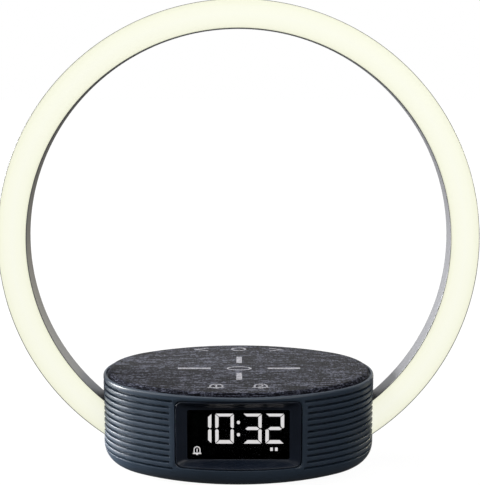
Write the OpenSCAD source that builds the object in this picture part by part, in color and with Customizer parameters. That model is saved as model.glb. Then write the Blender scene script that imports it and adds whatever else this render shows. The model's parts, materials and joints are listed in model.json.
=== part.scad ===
// Sunrise alarm clock: an oval drum with a display and a charging pad, and a C-shaped light ring.
// Millimetres. X is right, Y is away from the display, Z is up from the table.

/* [Drum] */
// Width of the drum
drum_w = 130; // [124:1:150]
// Depth of the drum, front to back
drum_d = 94; // [90:1:104]
// Radius of the drum's two ends
end_r = 39; // [36:0.5:42]
// Height from the drum's lower edge to its rim
drum_h = 42.7; // [41:0.1:52]
// Thickness of the drum wall
wall_t = 2.6; // [2.2:0.1:3.2]
// Rounding of the drum's lower edge
sole_r = 6.5; // [5:0.5:7]
// Rounding of the rim
rim_r = 1; // [0.6:0.1:1.4]
// Width of the rim around the fabric
rim_w = 1.5; // [1.3:0.1:1.8]
// Number of grooves around the drum
groove_count = 12; // [4:1:12]
// Distance from groove to groove
groove_pitch = 2.88; // [2.4:0.02:2.94]
// Width of a groove
groove_w = 1; // [0.6:0.1:1.4]
// Depth of a groove
groove_depth = 1; // [0.5:0.1:1.3]
// Distance from the rim down to the first groove
groove_drop = 3.2; // [2.8:0.1:4]
// Half width of the smooth panel around the mains socket
rear_panel = 14; // [10:1:20]

/* [Base] */
// Height of the rubber feet below the drum
foot_h = 1.5; // [1:0.1:3]
// Radius of a rubber foot
foot_r = 5; // [4:0.5:5.5]
// Thickness of the bottom cover
cover_t = 2.4; // [2.2:0.1:3]
// Width of the drum's lip around the bottom cover
lip_w = 1.2; // [1:0.1:2]
// Height from the bottom cover to the main board
post_h = 21.3; // [20.5:0.1:23]
// Thickness of the circuit boards
board_t = 1.6; // [1:0.2:2]

/* [Top] */
// Height of the fabric above the rim
pad_crown = 1.6; // [1.5:0.1:2.2]
// Width of the rolled edge of the fabric
pad_roll = 1.4; // [1.2:0.1:2]
// Gap between the rim and the fabric
pad_gap = 0.7; // [0.5:0.1:0.8]
// Thickness of the fabric
fabric_t = 0.8; // [0.6:0.1:1.1]
// Depth of the seat of the top plate below the rim
seat_depth = 1.4; // [1.2:0.1:1.7]
// Outer radius of the charging coil
coil_r = 22; // [18:0.5:22]
// Place of the charging coil in front of the middle
coil_y = -1; // [-2:0.5:1]

/* [Light ring] */
// Outer radius of the light ring
ring_r = 113.2; // [108:0.1:120]
// Width of the ring's face
ring_band = 13.7; // [12:0.1:15]
// Depth of the ring, front to back
ring_depth = 13.7; // [12:0.1:16]
// Height of the ring's ends above the drum's lower edge
ring_seat = 13.9; // [12:0.1:16]
// Distance from the drum's side in to the middle of the ring's ends
ring_inset = 11.8; // [11:0.1:13]
// Wall of the ring's channel
ring_wall = 1.2; // [1:0.1:1.5]
// Thickness of the channel's lip beside the diffuser
ring_lip = 0.4; // [0.3:0.1:0.6]
// Thickness of the diffuser
diffuser_t = 2.4; // [1.6:0.1:3]
// Number of light sources in the ring
led_count = 48; // [24:1:60]

/* [Display] */
// Width of the dish's slopes beside the window
dish_side = 6.1; // [5:0.1:7]
// Height of the dish's slope above the window
dish_top = 5.6; // [5:0.1:6]
// Height of the dish's slope below the window
dish_low = 3.6; // [3:0.1:4.4]
// Distance from the rim down to the bezel
bezel_drop = 1.8; // [1.7:0.1:2.2]
// Rounding of the bezel's corners
bezel_r = 3; // [2:0.5:4]
// Width of the window opening
view_w = 46.6; // [46:0.2:48]
// Height of the window opening
view_h = 23.3; // [22.5:0.1:24]
// Depth of the window behind the drum's front
view_depth = 6.7; // [6:0.1:7.5]
// Thickness of the window
window_t = 1.5; // [1:0.1:2]
// Height of a digit
digit_h = 14.3; // [12:0.1:15]
// Width of a digit
digit_w = 8.7; // [7.5:0.1:9]
// Width of an upright stroke
stroke_w = 2.1; // [1.6:0.1:2.3]
// Height of a level stroke
stroke_h = 1.8; // [1.4:0.1:2.2]

/* [Power, speaker and cell] */
// Radius of the mains socket's bore
jack_bore_r = 3.1; // [2.8:0.1:3.3]
// Radius of the mains socket's pin
jack_pin_r = 1; // [0.6:0.05:1.3]
// Radius of the speaker frame
speaker_r = 18; // [16:0.5:18.5]
// Gap between the speaker and the battery bay
speaker_gap = 2.15; // [1.2:0.05:3]
// Radius of the coin cell
cell_r = 10; // [8:0.5:10.5]
// Thickness of the coin cell
cell_t = 3.2; // [2:0.1:3.6]
// Distance from the drum's back to the middle of the coin cell
cell_in = 25; // [24:0.5:26]

/* [Hidden] */
$fn = 96;

// Clearances: a loose fit, a close fit, and the overlap that lets a cut break through a face
loose = 0.25;
close_fit = 0.1;
cut = 1;

// The oval is four arcs: two ends of end_r and two long sides of side_r
half_w = drum_w / 2;
half_d = drum_d / 2;
end_x = half_w - end_r;
side_r = (end_x * end_x + half_d * half_d - end_r * end_r) / (2 * (half_d - end_r));
side_y = side_r - half_d;
join = atan2(end_x, side_y);

// Heights above the table
base_z = foot_h;
rim_z = base_z + drum_h;
cover_gap = 0.3;
cover_z = base_z + cover_gap;
cover_top = cover_z + cover_t;
cover_in = sole_r + lip_w + loose;
seat_z = rim_z - seat_depth;
ledge_t = 1.8;
ledge_w = 3;
board_z = cover_top + post_h;
board_top = board_z + board_t;

// Fabric and top plate
pad_in = rim_w + pad_gap;
pad_top = rim_z + pad_crown;
plate_top = pad_top - fabric_t;
plate_t = 1.6;
plate_under = plate_top - plate_t;
skirt_t = 2;
coil_t = 1.8;
coil_hole_r = 9;
ferrite_r = coil_r + 1.2;
ferrite_t = 1;
ferrite_z = plate_under - coil_t - ferrite_t;
electrode_t = 0.2;
electrode_r = 3.2;
touch_t = 0.6;
touch_z = plate_under - electrode_t - touch_t;
charge_z = ferrite_z - 6.1;
charge_w = 50;
charge_d = 40;
charge_x = charge_w / 2 - 3;
charge_y = charge_d / 2 - 3;
back_keys_y = half_d - 11.6;
front_keys_y = 14.5 - half_d;
KEYS = [for (x = [-18.4, 0, 18.4]) [x, back_keys_y], for (x = [-10.3, 10.3]) [x, front_keys_y]];

// Ears under the top plate, set on the end arcs, and the depth of their screws in the plate
ear_angle = 40;
ear_in = 9;
ear_r = 4.5;
plate_bite = 1.4;
EARS = [for (sx = [-1, 1], sy = [-1, 1])
    [sx * (end_x + (end_r - ear_in) * cos(ear_angle)), sy * (end_r - ear_in) * sin(ear_angle)]];

// Screws: shank radius, pilot radius, head radius and head height
screw_r = 1.1;
pilot_r = 1.2;
head_r = 2.2;
head_h = 1.2;
small_r = 0.8;
small_pilot = 0.9;
small_head_r = 1.5;
small_head_h = 0.9;

// Case screws and their bosses
case_x = half_w - 31;
case_y = half_d - 21;
case_boss_r = 3.5;
case_boss_h = 12;
CASE = [for (sx = [-1, 1], sy = [-1, 1]) [sx * case_x, sy * case_y]];

// Rubber feet
foot_x = half_w - 21;
foot_y = 16;
foot_sink = 0.6;
FEET = [for (sx = [-1, 1], sy = [-1, 1]) [sx * foot_x, sy * foot_y]];

// Main board
main_w = half_w - 27;
main_front = 23 - half_d;
main_back = half_d - 11;
post_r = 3;
post_x = main_w - 12;
POSTS = [for (sx = [-1, 1], y = [main_front + 4, main_back - 14]) [sx * post_x, y]];

// Display: the outline's middle height, the window plane and what lies behind it
bezel_w = view_w + 2 * dish_side;
bezel_h = view_h + dish_top + dish_low;
bezel_z = rim_z - bezel_drop - bezel_h / 2;
view_z = rim_z - bezel_drop - dish_top - view_h / 2;
window_y = view_depth - half_d;
window_back = window_y + window_t;
window_w = view_w + 3;
window_h = view_h + 1.5;
reflector_t = 5.8;
bezel_back = window_back + reflector_t;
bezel_lip = 0.7;
digit_z = view_z + 2.35;
DIGITS = [-16.6, -6.35, 6.35, 16.6];
segment_gap = 0.22;
colon_r = 0.9;
colon_rise = 2.9;
mark_y = -10.2;
LIT = ["bc", "abcdef", "abcdg", "abdeg"];

// Light ring
ring_in = ring_r - ring_band;
ring_mid = ring_r - ring_band / 2;
ring_gap = asin((half_w - ring_inset) / ring_mid);
ring_end_z = base_z + ring_seat;
ring_z = ring_end_z + ring_mid * cos(ring_gap);
ring_half = ring_depth / 2;
ring_back_r = 1.5;
strip_w = 8;
strip_t = 0.4;
led_size = [3.5, 2.8, 1.4];
socket_in = half_w - 19;
socket_wall = 3;
socket_h = 19;
socket_flange = 2.4;

// Mains socket
jack_w = 9;
jack_h = 11;
jack_len = 14;
jack_nose_r = jack_bore_r + 0.8;
jack_depth = 9.5;
jack_y = half_d - wall_t - 0.2;
jack_nose = 1.9;
jack_z = board_z - jack_h / 2;

// Coin cell and its door
cell_y = half_d - cell_in;
door_t = 1.8;
door_w = 31;
door_front = cell_y - 12;
door_back = cell_y + 13;
door_screw = [12.5, cell_y + 10];
cup_t = 1.6;
bay_r = cell_r + loose + cup_t;
contact_t = 0.4;
cell_z = cover_z + door_t;

// Speaker
basket_h = 8;
magnet_h = 6;
magnet_r = 12;
voice_r = 5;
voice_t = 0.5;
flange_t = 1.5;
speaker_y = cell_y - bay_r - speaker_gap - speaker_r;
ear_x = speaker_r + 3;
basket_in = speaker_r - 2.4;
basket_bend = 3.4;
cone_gap = 0.3;

// ---------- shared shapes ----------

// Area inside the drum's outline, drawn in by inset
module oval(inset, ends = 96, sides = 192) {
    for (s = [-1, 1]) translate([s * end_x, 0]) circle(r = end_r - inset, $fn = ends);
    intersection() {
        translate([0, side_y]) circle(r = side_r - inset, $fn = sides);
        translate([0, -side_y]) circle(r = side_r - inset, $fn = sides);
        square([2 * (side_r - inset) * sin(join), drum_d], center = true);
    }
}

module oval_slab(inset, low, high)
    translate([0, 0, low]) linear_extrude(high - low) oval(inset);

// The thinnest slab, for the layers of a rounded form
film = 0.01;
module oval_film(inset, z) translate([0, 0, z]) linear_extrude(film) oval(inset, 48, 96);

module rounded(w, h, r) {
    square([w - 2 * r, h], center = true);
    square([w, h - 2 * r], center = true);
    for (sx = [-1, 1], sy = [-1, 1])
        translate([sx * (w / 2 - r), sy * (h / 2 - r)]) circle(r = r, $fn = 32);
}

// Upright plate of a rounded outline, between two depths
module upright(w, h, r, z, front, back)
    translate([0, back, z]) rotate([90, 0, 0]) linear_extrude(back - front) rounded(w, h, r);

// A flat cable or wire: a band of thickness t along points, w wide
module band(points, t, w)
    translate([0, 0, -w / 2]) linear_extrude(w)
        for (i = [1 : len(points) - 1]) let (a = points[i - 1], d = points[i] - a) {
            translate(a) rotate(atan2(d[1], d[0])) translate([0, -t / 2]) square([norm(d), t]);
            if (i > 1) translate(a) circle(d = t, $fn = 24);
        }

// Screw pointing up from the underside of its head at z = 0
module screw(r, head, head_t, length, $fn = 32) {
    difference() {
        translate([0, 0, -head_t]) cylinder(r = head, h = head_t);
        for (a = [0, 90]) rotate([0, 0, a])
            translate([-head * 0.6, -0.25, -head_t - cut]) cube([head * 1.2, 0.5, cut + head_t / 2]);
    }
    cylinder(r = r, h = length);
}

module hole(p, r, low, high, n = 32)
    translate([p[0], p[1], low]) cylinder(r = r, h = high - low, $fn = n);

// ---------- drum ----------

function arc_points(c, r, from, to, n) =
    [for (i = [0 : n]) let (a = from + (to - from) * i / n) [c[0] + r * cos(a), c[1] + r * sin(a)]];

// The drum as a closed form: a rounded sole, an upright wall and a rounded rim
module drum_form() {
    hull() {
        for (p = arc_points([sole_r, base_z + sole_r], sole_r, 180, 270, 6)) oval_film(p[0], p[1]);
    }
    oval_slab(0, base_z + sole_r, rim_z - rim_r);
    hull() {
        for (p = arc_points([rim_r, rim_z - rim_r - film], rim_r, 90, 180, 3)) oval_film(p[0], p[1]);
    }
}

panel_margin = 2.1;
front_panel = bezel_w / 2 + panel_margin;
groove_low = rim_z - groove_drop - (groove_count - 1) * groove_pitch;
module grooves() difference() {
    for (k = [0 : groove_count - 1]) let (z = groove_low + k * groove_pitch)
        oval_slab(-cut, z - groove_w / 2, z + groove_w / 2);
    oval_slab(groove_depth, base_z, rim_z);
    translate([-front_panel, -drum_d, 0]) cube([2 * front_panel, drum_d, rim_z]);
    translate([-rear_panel, 0, 0]) cube([2 * rear_panel, drum_d, rim_z]);
}

module drum_hollow() {
    oval_slab(cover_in - loose, base_z - cut, cover_top + film);
    oval_slab(sole_r, cover_top, seat_z);
    oval_slab(wall_t, cover_top + sole_r - wall_t, seat_z - ledge_t);
    oval_slab(wall_t + ledge_w, seat_z - ledge_t - film, seat_z + film);
    oval_slab(rim_w, seat_z, rim_z + cut);
}

module outer_housing() color([0.11, 0.12, 0.17]) difference() {
    union() {
        difference() {
            drum_form();
            drum_hollow();
            grooves();
        }
        for (p = EARS) hole(p, ear_r, seat_z - ledge_t, seat_z);
        for (p = CASE) hole(p, case_boss_r, cover_top, cover_top + case_boss_h);
        intersection() {
            oval_slab(wall_t - 0.5, cover_top + 3, cover_top + case_boss_h);
            for (p = CASE) translate([p[0] - 1, p[1] > 0 ? p[1] : p[1] - drum_d, cover_top + 3])
                cube([2, drum_d, case_boss_h - 3]);
        }
    }
    upright(bezel_w, bezel_h, bezel_r, bezel_z, -drum_d, bezel_back);
    intersection() {
        oval_slab(rim_w, bezel_z, rim_z + cut);
        translate([-bezel_w / 2, -half_d, bezel_z])
            cube([bezel_w, bezel_back + half_d, rim_z - bezel_z + cut]);
    }
    for (p = CASE) hole(p, pilot_r, cover_top - cut, cover_top + case_boss_h - 2);
    for (p = EARS) hole(p, screw_r + loose, seat_z - ledge_t - cut, seat_z + cut);
    ring_arc(ring_gap, 70) ring_block(loose);
    ring_arc(290, 360 - ring_gap) ring_block(loose);
    translate([0, drum_d, jack_z]) rotate([90, 0, 0])
        cylinder(r = jack_nose_r + loose, h = drum_d, $fn = 48);
}

module bottom_cover() color([0.1, 0.1, 0.12]) difference() {
    union() {
        oval_slab(cover_in, cover_z, cover_top);
        for (p = POSTS) hole(p, post_r, cover_top - cut, board_z);
        translate([0, cell_y, 0]) hole([0, 0], bay_r, cover_top - cut, cell_z + cell_t + contact_t + cup_t);
        hole(door_screw, post_r, cover_top - cut, cover_top + 5);
        for (s = [-1, 1]) hole([s * ear_x, speaker_y], post_r, cover_top - cut, cover_top + flange_t);
    }
    for (p = POSTS) hole(p, small_pilot, board_z - 8, board_z + cut);
    for (p = CASE) {
        hole(p, screw_r + loose, base_z, cover_top + cut);
        hole(p, head_r + loose, base_z, cover_z + head_h);
    }
    for (p = FEET) hole(p, foot_r + close_fit, base_z, cover_z + foot_sink);
    // battery bay, open below
    hole([0, cell_y], cell_r + loose, cover_z - cut, cell_z + cell_t + contact_t, 96);
    translate([0, (door_front + door_back) / 2, cover_z - cut])
        linear_extrude(cut + door_t) rounded(door_w + 2 * loose, door_back - door_front + 2 * loose, 3);
    hole(door_screw, pilot_r, cover_z, cover_top + 4);
    // sound slots, each as long as the cone is wide there
    for (i = [-3 : 3]) let (y = i * slot_pitch) translate([0, speaker_y + y, base_z])
        slot(2 * sqrt(slots_r * slots_r - y * y) - 4, cover_top + cut - base_z);
    for (s = [-1, 1]) hole([s * ear_x, speaker_y], small_pilot, cover_z + 0.8, cover_top + flange_t + cut);
    for (s = [-1, 1], p = SOCKET_SCREWS) hole([s * p[0], p[1]], pilot_r, cover_z + 0.5, cover_top + cut);
}

slots_r = speaker_r - 4;
slot_pitch = 4;
module slot(length, h, w = 2) {
    translate([-length / 2, -w / 2, 0]) cube([length, w, h]);
    for (s = [-1, 1]) translate([s * length / 2, 0, 0]) cylinder(d = w, h = h, $fn = 24);
}

module rubber_feet() color([0.05, 0.05, 0.05])
    for (p = FEET) hole(p, foot_r, 0, cover_z + foot_sink, 48);

module case_screws() color("silver")
    for (p = CASE) translate([p[0], p[1], cover_z + head_h])
        screw(screw_r, head_r, head_h, case_boss_h - 2);

// ---------- top ----------

// The pillow of the top down to a height, drawn in by t from the fabric's face
module pillow(t, low) {
    oval_slab(pad_in + t, low, rim_z);
    hull() for (a = [0 : 30 : 90])
        oval_film(pad_in + pad_roll - (pad_roll - t) * cos(a), rim_z - film + (pad_crown - t) * sin(a));
}

module fabric_cover() color([0.33, 0.33, 0.35]) difference() {
    pillow(0, seat_z + close_fit);
    pillow(fabric_t, seat_z - cut);
}

module top_plate() color([0.15, 0.15, 0.17]) difference() {
    union() {
        difference() {
            pillow(fabric_t, seat_z);
            oval_slab(pad_in + fabric_t + skirt_t, seat_z - cut, plate_under);
        }
        for (p = EARS) hole(p, 3, seat_z, plate_under + 0.5);
        for (p = CHARGE) hole(p, 2.5, charge_z + board_t, plate_under + 0.5);
    }
    for (p = EARS) hole(p, pilot_r, seat_z - cut, seat_z + plate_bite + 0.2);
    for (p = CHARGE) hole(p, small_pilot, charge_z, charge_z + board_t + 5);
}

module top_screws() color("silver")
    for (p = EARS) translate([p[0], p[1], seat_z - ledge_t])
        screw(screw_r, head_r, head_h, ledge_t + plate_bite);

module touch_board() color([0.12, 0.3, 0.16]) difference() {
    oval_slab(pad_in + fabric_t + skirt_t + 1, touch_z, touch_z + touch_t);
    hole([0, coil_y], ferrite_r + 2, touch_z - cut, touch_z + touch_t + cut, 96);
    for (p = EARS) hole(p, ear_r + loose, touch_z - cut, touch_z + touch_t + cut);
    for (p = CHARGE) hole(p, 2.5 + loose, touch_z - cut, touch_z + touch_t + cut);
}

module touch_electrodes() color([0.72, 0.45, 0.2])
    for (p = KEYS) hole(p, electrode_r, touch_z + touch_t, plate_under, 48);

module touch_ribbon() color([0.75, 0.6, 0.3])
    translate([TOUCH_PLUG[0] - 0.2, TOUCH_PLUG[1] - 4, board_top + plug_h])
        cube([0.4, 8, touch_z - board_top - plug_h]);

module charging_coil() color([0.72, 0.42, 0.2]) translate([0, coil_y, plate_under - coil_t])
    rotate_extrude() translate([coil_hole_r, 0]) square([coil_r - coil_hole_r, coil_t]);

module coil_ferrite() color([0.2, 0.2, 0.2])
    hole([0, coil_y], ferrite_r, ferrite_z, ferrite_z + ferrite_t, 96);

lead_x = ferrite_r + 1;
lead_d = 0.7;
module coil_leads() color([0.75, 0.3, 0.15]) for (y = [-1, 1]) let (z = plate_under - coil_t / 2)
    translate([0, coil_y + y, 0]) rotate([90, 0, 0])
        band([[coil_r, z], [lead_x, z], [lead_x, charge_z + board_t]], lead_d, lead_d);

CHARGE = [for (sx = [-1, 1], sy = [-1, 1]) [sx * charge_x, coil_y + sy * charge_y]];
module charging_board() color([0.1, 0.35, 0.2]) difference() {
    translate([-charge_w / 2, coil_y - charge_d / 2, charge_z]) cube([charge_w, charge_d, board_t]);
    for (p = CHARGE) hole(p, small_r + loose, charge_z - cut, charge_z + board_t + cut);
}

module charging_screws() color("silver")
    for (p = CHARGE) translate([p[0], p[1], charge_z])
        screw(small_r, small_head_r, small_head_h, board_t + 4.5);

// ---------- display ----------

display_posts = [for (sx = [-1, 1], sz = [-1, 1])
    [sx * (window_w / 2 + bezel_w / 2) / 2, bezel_z + sz * (bezel_h / 2 - 4)]];

module display_bezel() color([0.09, 0.1, 0.14]) difference() {
    intersection() {
        upright(bezel_w - 2 * close_fit, bezel_h - 2 * close_fit, bezel_r - close_fit, bezel_z,
            -drum_d, bezel_back);
        oval_slab(0, base_z, rim_z);
    }
    // dish from the outline down to the window opening
    hull() {
        intersection() {
            upright(bezel_w - 2 * bezel_lip, bezel_h - 2 * bezel_lip, bezel_r - bezel_lip, bezel_z,
                -drum_d, window_y);
            difference() {
                oval_slab(-1, base_z, rim_z);
                oval_slab(0, base_z - cut, rim_z + cut);
            }
        }
        upright(view_w, view_h, 1, view_z, window_y - 0.1, window_y + 0.05);
    }
    upright(view_w, view_h, 1, view_z, window_y - 0.1, window_y + cut);
    // pocket for the window and the reflector
    upright(window_w + 2 * close_fit, window_h + 2 * close_fit, 1, view_z, window_y, bezel_back + cut);
    for (p = display_posts) translate([p[0], bezel_back + cut, p[1]]) rotate([90, 0, 0])
        cylinder(r = small_pilot, h = 5 + cut, $fn = 24);
}

module display_window() color([0.02, 0.02, 0.03])
    upright(window_w, window_h, 1, view_z, window_y, window_back);

// Stroke outlines of one digit, about its middle
function strokes() = let (
    w = digit_w / 2, h = digit_h / 2, a = stroke_w, b = stroke_h, g = segment_gap, m = b / 2) [
    ["a", [[-w + g, h], [w - g, h], [w - a, h - b], [-w + a, h - b]]],
    ["d", [[-w + g, -h], [-w + a, b - h], [w - a, b - h], [w - g, -h]]],
    ["b", [[w, h - g], [w, g + m / 2], [w - a / 2, g], [w - a, g + m], [w - a, h - b - g]]],
    ["c", [[w, g - h], [w - a, b - h + g], [w - a, -g - m], [w - a / 2, -g], [w, -g - m / 2]]],
    ["f", [[-w, h - g], [a - w, h - b - g], [a - w, g + m], [a / 2 - w, g], [-w, g + m / 2]]],
    ["e", [[-w, g - h], [-w, -g - m / 2], [a / 2 - w, -g], [a - w, -g - m], [a - w, b - h + g]]],
    ["g", [[g + a / 2 - w, 0], [a - w + g, m], [w - a - g, m], [w - a / 2 - g, 0], [w - a - g, -m],
        [a - w + g, -m]]]];

module marks() {
    for (s = [-1, 1]) translate([0, s * colon_rise]) circle(r = colon_r, $fn = 24);
    translate([DIGITS[0] - 2.3, mark_y]) {
        difference() {
            bell(0);
            bell(0.42);
        }
        square([0.45, 1.5], center = true);
        translate([0, -1.5]) square([3.9, 0.5], center = true);
        translate([0, -1.85]) circle(r = 0.45, $fn = 24);
    }
    translate([DIGITS[3] - 0.4, mark_y + 0.5])
        for (s = [-1, 1]) translate([s * 1.1, 0]) square([1.2, 1.6], center = true);
}

// Body of the bell mark, drawn in by t
module bell(t) {
    translate([0, 0.35]) circle(r = 1.55 - t, $fn = 32);
    translate([t - 1.55, t - 1.5]) square([3.1 - 2 * t, 1.9 - t]);
}

module segments(lit) {
    for (i = [0 : 3]) translate([DIGITS[i], 0]) for (s = strokes())
        if ((len(search(s[0], LIT[i])) > 0) == lit) polygon(s[1]);
    if (lit) marks();
}

module at_display(front, back)
    translate([0, back, digit_z]) rotate([90, 0, 0]) linear_extrude(back - front) children();

module segments_lit() color([0.9, 0.9, 0.92]) at_display(window_back, bezel_back - cut) segments(true);

module segments_unlit() color([0.12, 0.12, 0.12]) at_display(window_back, bezel_back - cut) segments(false);

module display_reflector() color([0.05, 0.05, 0.05]) difference() {
    upright(window_w, window_h, 1, view_z, window_back, bezel_back);
    at_display(window_back - cut, bezel_back - cut) { segments(true); segments(false); }
}

module display_board() color([0.1, 0.3, 0.18]) difference() {
    upright(bezel_w - 1, bezel_h - 1, 1, bezel_z, bezel_back, bezel_back + board_t);
    for (p = display_posts) translate([p[0], bezel_back + board_t + cut, p[1]]) rotate([90, 0, 0])
        cylinder(r = small_r + loose, h = board_t + 2 * cut, $fn = 24);
}

module display_screws() color("silver")
    for (p = display_posts) translate([p[0], bezel_back + board_t, p[1]]) rotate([90, 0, 0])
        screw(small_r, small_head_r, small_head_h, board_t + 4.5);

ribbon_y = bezel_back + board_t + 2.5;
ribbon_z = board_top - 6;
plug_h = 3;
ribbon_end = board_top + plug_h / 2;
module display_ribbon() color([0.75, 0.6, 0.3]) rotate([90, 0, 90])
    band([[bezel_back + board_t, ribbon_z], [ribbon_y, ribbon_z], [ribbon_y, ribbon_end],
        [main_front, ribbon_end]], 0.4, 12);

// ---------- electronics ----------

module main_board() color([0.1, 0.35, 0.2]) difference() {
    intersection() {
        oval_slab(wall_t + 1, board_z, board_top);
        translate([-main_w, main_front, board_z]) cube([2 * main_w, main_back - main_front, board_t]);
    }
    for (p = CASE) hole(p, case_boss_r + 1, board_z - cut, board_top + cut);
    for (p = POSTS) hole(p, small_r + loose, board_z - cut, board_top + cut);
}

TOUCH_PLUG = [-32, 0];
RING_PLUG = [main_w - 3, 0];
module board_components() color([0.15, 0.15, 0.16]) {
    translate([-6, main_front, board_top]) cube([12, 4, plug_h]);
    for (p = [TOUCH_PLUG, RING_PLUG]) translate([p[0] - 2, p[1] - 5, board_top]) cube([4, 10, plug_h]);
    translate([-6, -9, board_top]) cube([12, 12, 1.2]);
    translate([12, -6, board_top]) cube([7, 7, 3.5]);
    translate([-18, -14, board_top]) cube([5, 4, 1]);
    translate([-18, -6, board_top]) cube([5, 4, 1]);
    for (x = [-14, -5, 5]) hole([x, main_back - 9], 3.2, board_top, board_top + 5.4, 48);
    translate([12, main_back - 12, board_top]) cube([9, 7, 4]);
    translate([-5, coil_y + charge_y - 4, board_top]) cube([10, 2.5, charge_z - board_top]);
    for (i = [0 : 5]) translate([8 + i * 3, 14, board_top]) cube([1.2, 2, 0.6]);
}

module board_screws() color("silver")
    for (p = POSTS) translate([p[0], p[1], board_top]) rotate([180, 0, 0])
        screw(small_r, small_head_r, small_head_h, board_t + 7);

module power_socket() color([0.08, 0.08, 0.08]) difference() {
    union() {
        translate([-jack_w / 2, jack_y - jack_len, board_z - jack_h]) cube([jack_w, jack_len, jack_h]);
        translate([0, jack_y + jack_nose, jack_z]) rotate([90, 0, 0])
            cylinder(r = jack_nose_r, h = jack_nose + cut, $fn = 48);
    }
    translate([0, jack_y + jack_nose + cut, jack_z]) rotate([90, 0, 0])
        cylinder(r = jack_bore_r, h = jack_depth + cut, $fn = 48);
}

module power_pin() color("gold") translate([0, jack_y + jack_nose - 1, jack_z]) rotate([90, 0, 0])
    cylinder(r = jack_pin_r, h = jack_depth - 1, $fn = 32);

// ---------- speaker, facing down ----------

module at_speaker() translate([0, speaker_y, cover_top]) children();

module speaker_frame() color([0.2, 0.2, 0.21]) at_speaker() difference() {
    union() {
        rotate_extrude() polygon([
            [basket_in, 0], [speaker_r, 0], [speaker_r, flange_t], [speaker_r - 1.2, flange_t],
            [speaker_r - 1.2, basket_bend + 0.2], [magnet_r - 1, basket_h], [voice_r + 2, basket_h],
            [voice_r + 2, basket_h - 1.2], [magnet_r - 2.2, basket_h - 1.2], [basket_in, basket_bend]]);
        for (s = [-1, 1]) translate([s > 0 ? speaker_r - 2 : -ear_x, -post_r, flange_t])
            cube([ear_x - speaker_r + 2, 2 * post_r, 1]);
        for (s = [-1, 1]) translate([s * ear_x, 0, flange_t]) cylinder(r = post_r, h = 1, $fn = 32);
    }
    for (s = [-1, 1]) hole([s * ear_x, 0], small_r + loose, 0, flange_t + 2 * cut, 24);
}

module speaker_magnet() color([0.35, 0.35, 0.37]) at_speaker() translate([0, 0, basket_h]) difference() {
    cylinder(r = magnet_r, h = magnet_h);
    translate([0, 0, -cut]) difference() {
        cylinder(r = voice_r + voice_t, h = magnet_h - 1);
        cylinder(r = voice_r - 2 * voice_t, h = magnet_h);
    }
}

module speaker_cone() color([0.12, 0.12, 0.12]) at_speaker() rotate_extrude() polygon([
    [basket_in - cone_gap, 1.4], [basket_in - cone_gap, 2], [voice_r, basket_h - 2.2],
    [voice_r, basket_h + 2.5], [voice_r - voice_t, basket_h + 2.5], [voice_r - voice_t, basket_h - 3],
    [0, basket_h - 3.4], [0, basket_h - 4], [voice_r, basket_h - 3.6]]);

module speaker_screws() color("silver") at_speaker() for (s = [-1, 1])
    translate([s * ear_x, 0, flange_t + 1]) rotate([180, 0, 0])
        screw(small_r, small_head_r, small_head_h, 3.6);

module speaker_leads() color([0.6, 0.1, 0.1]) for (s = [-1, 1])
    hole([s, speaker_y + speaker_r - 0.8], 0.45, cover_top + flange_t, board_z, 24);

// ---------- coin cell ----------

module coin_cell() color([0.75, 0.75, 0.77]) translate([0, cell_y, cell_z]) {
    cylinder(r = cell_r, h = cell_t * 0.6);
    cylinder(r = cell_r - 1, h = cell_t);
}

module cell_contact() color([0.8, 0.75, 0.55]) translate([-2.5, cell_y - cell_r + 2, cell_z + cell_t])
    cube([5, 2 * cell_r - 4, contact_t]);

module battery_door() color([0.1, 0.1, 0.12]) difference() {
    translate([0, (door_front + door_back) / 2, cover_z])
        linear_extrude(door_t) rounded(door_w, door_back - door_front, 3);
    hole(door_screw, screw_r + loose, cover_z - cut, cover_top);
    hole(door_screw, head_r + loose, cover_z - cut, cover_z + 0.9);
}

module battery_door_screw() color("silver") translate([door_screw[0], door_screw[1], cover_z + 0.9])
    screw(screw_r, head_r, 0.9, 4);

// ---------- light ring ----------

// Turns a section (x from the ring's axis, y towards the front) about the ring's axis.
// Angles are counted from straight down, over the right-hand side.
module ring_arc(from, to)
    translate([0, 0, ring_z]) rotate([90, 0, 0]) rotate([0, 0, from - 90])
        rotate_extrude(angle = to - from, $fn = 240) children();

module ring_block(clear)
    translate([ring_in - clear, -ring_half - clear])
        square([ring_band + 2 * clear, ring_depth + 2 * clear]);

module ring_channel() color([0.62, 0.62, 0.63]) ring_arc(ring_gap, 360 - ring_gap) polygon(concat(
    [[ring_in, ring_half]],
    arc_points([ring_in + ring_back_r, ring_back_r - ring_half], ring_back_r, 180, 270, 4),
    arc_points([ring_r - ring_back_r, ring_back_r - ring_half], ring_back_r, 270, 360, 4),
    [[ring_r, ring_half], [ring_r - ring_lip, ring_half], [ring_r - ring_lip, ring_half - diffuser_t],
     [ring_r - ring_wall, ring_half - diffuser_t], [ring_r - ring_wall, ring_wall - ring_half],
     [ring_in + ring_wall, ring_wall - ring_half], [ring_in + ring_wall, ring_half - diffuser_t],
     [ring_in + ring_lip, ring_half - diffuser_t], [ring_in + ring_lip, ring_half]]));

module ring_diffuser() color([0.97, 0.98, 0.92]) ring_arc(ring_gap, 360 - ring_gap)
    translate([ring_in + ring_lip + close_fit, ring_half - diffuser_t])
        square([ring_band - 2 * ring_lip - 2 * close_fit, diffuser_t]);

module led_strip() color([0.9, 0.9, 0.88]) ring_arc(ring_gap, 360 - ring_gap)
    translate([ring_mid - strip_w / 2, ring_wall - ring_half]) square([strip_w, strip_t]);

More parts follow.
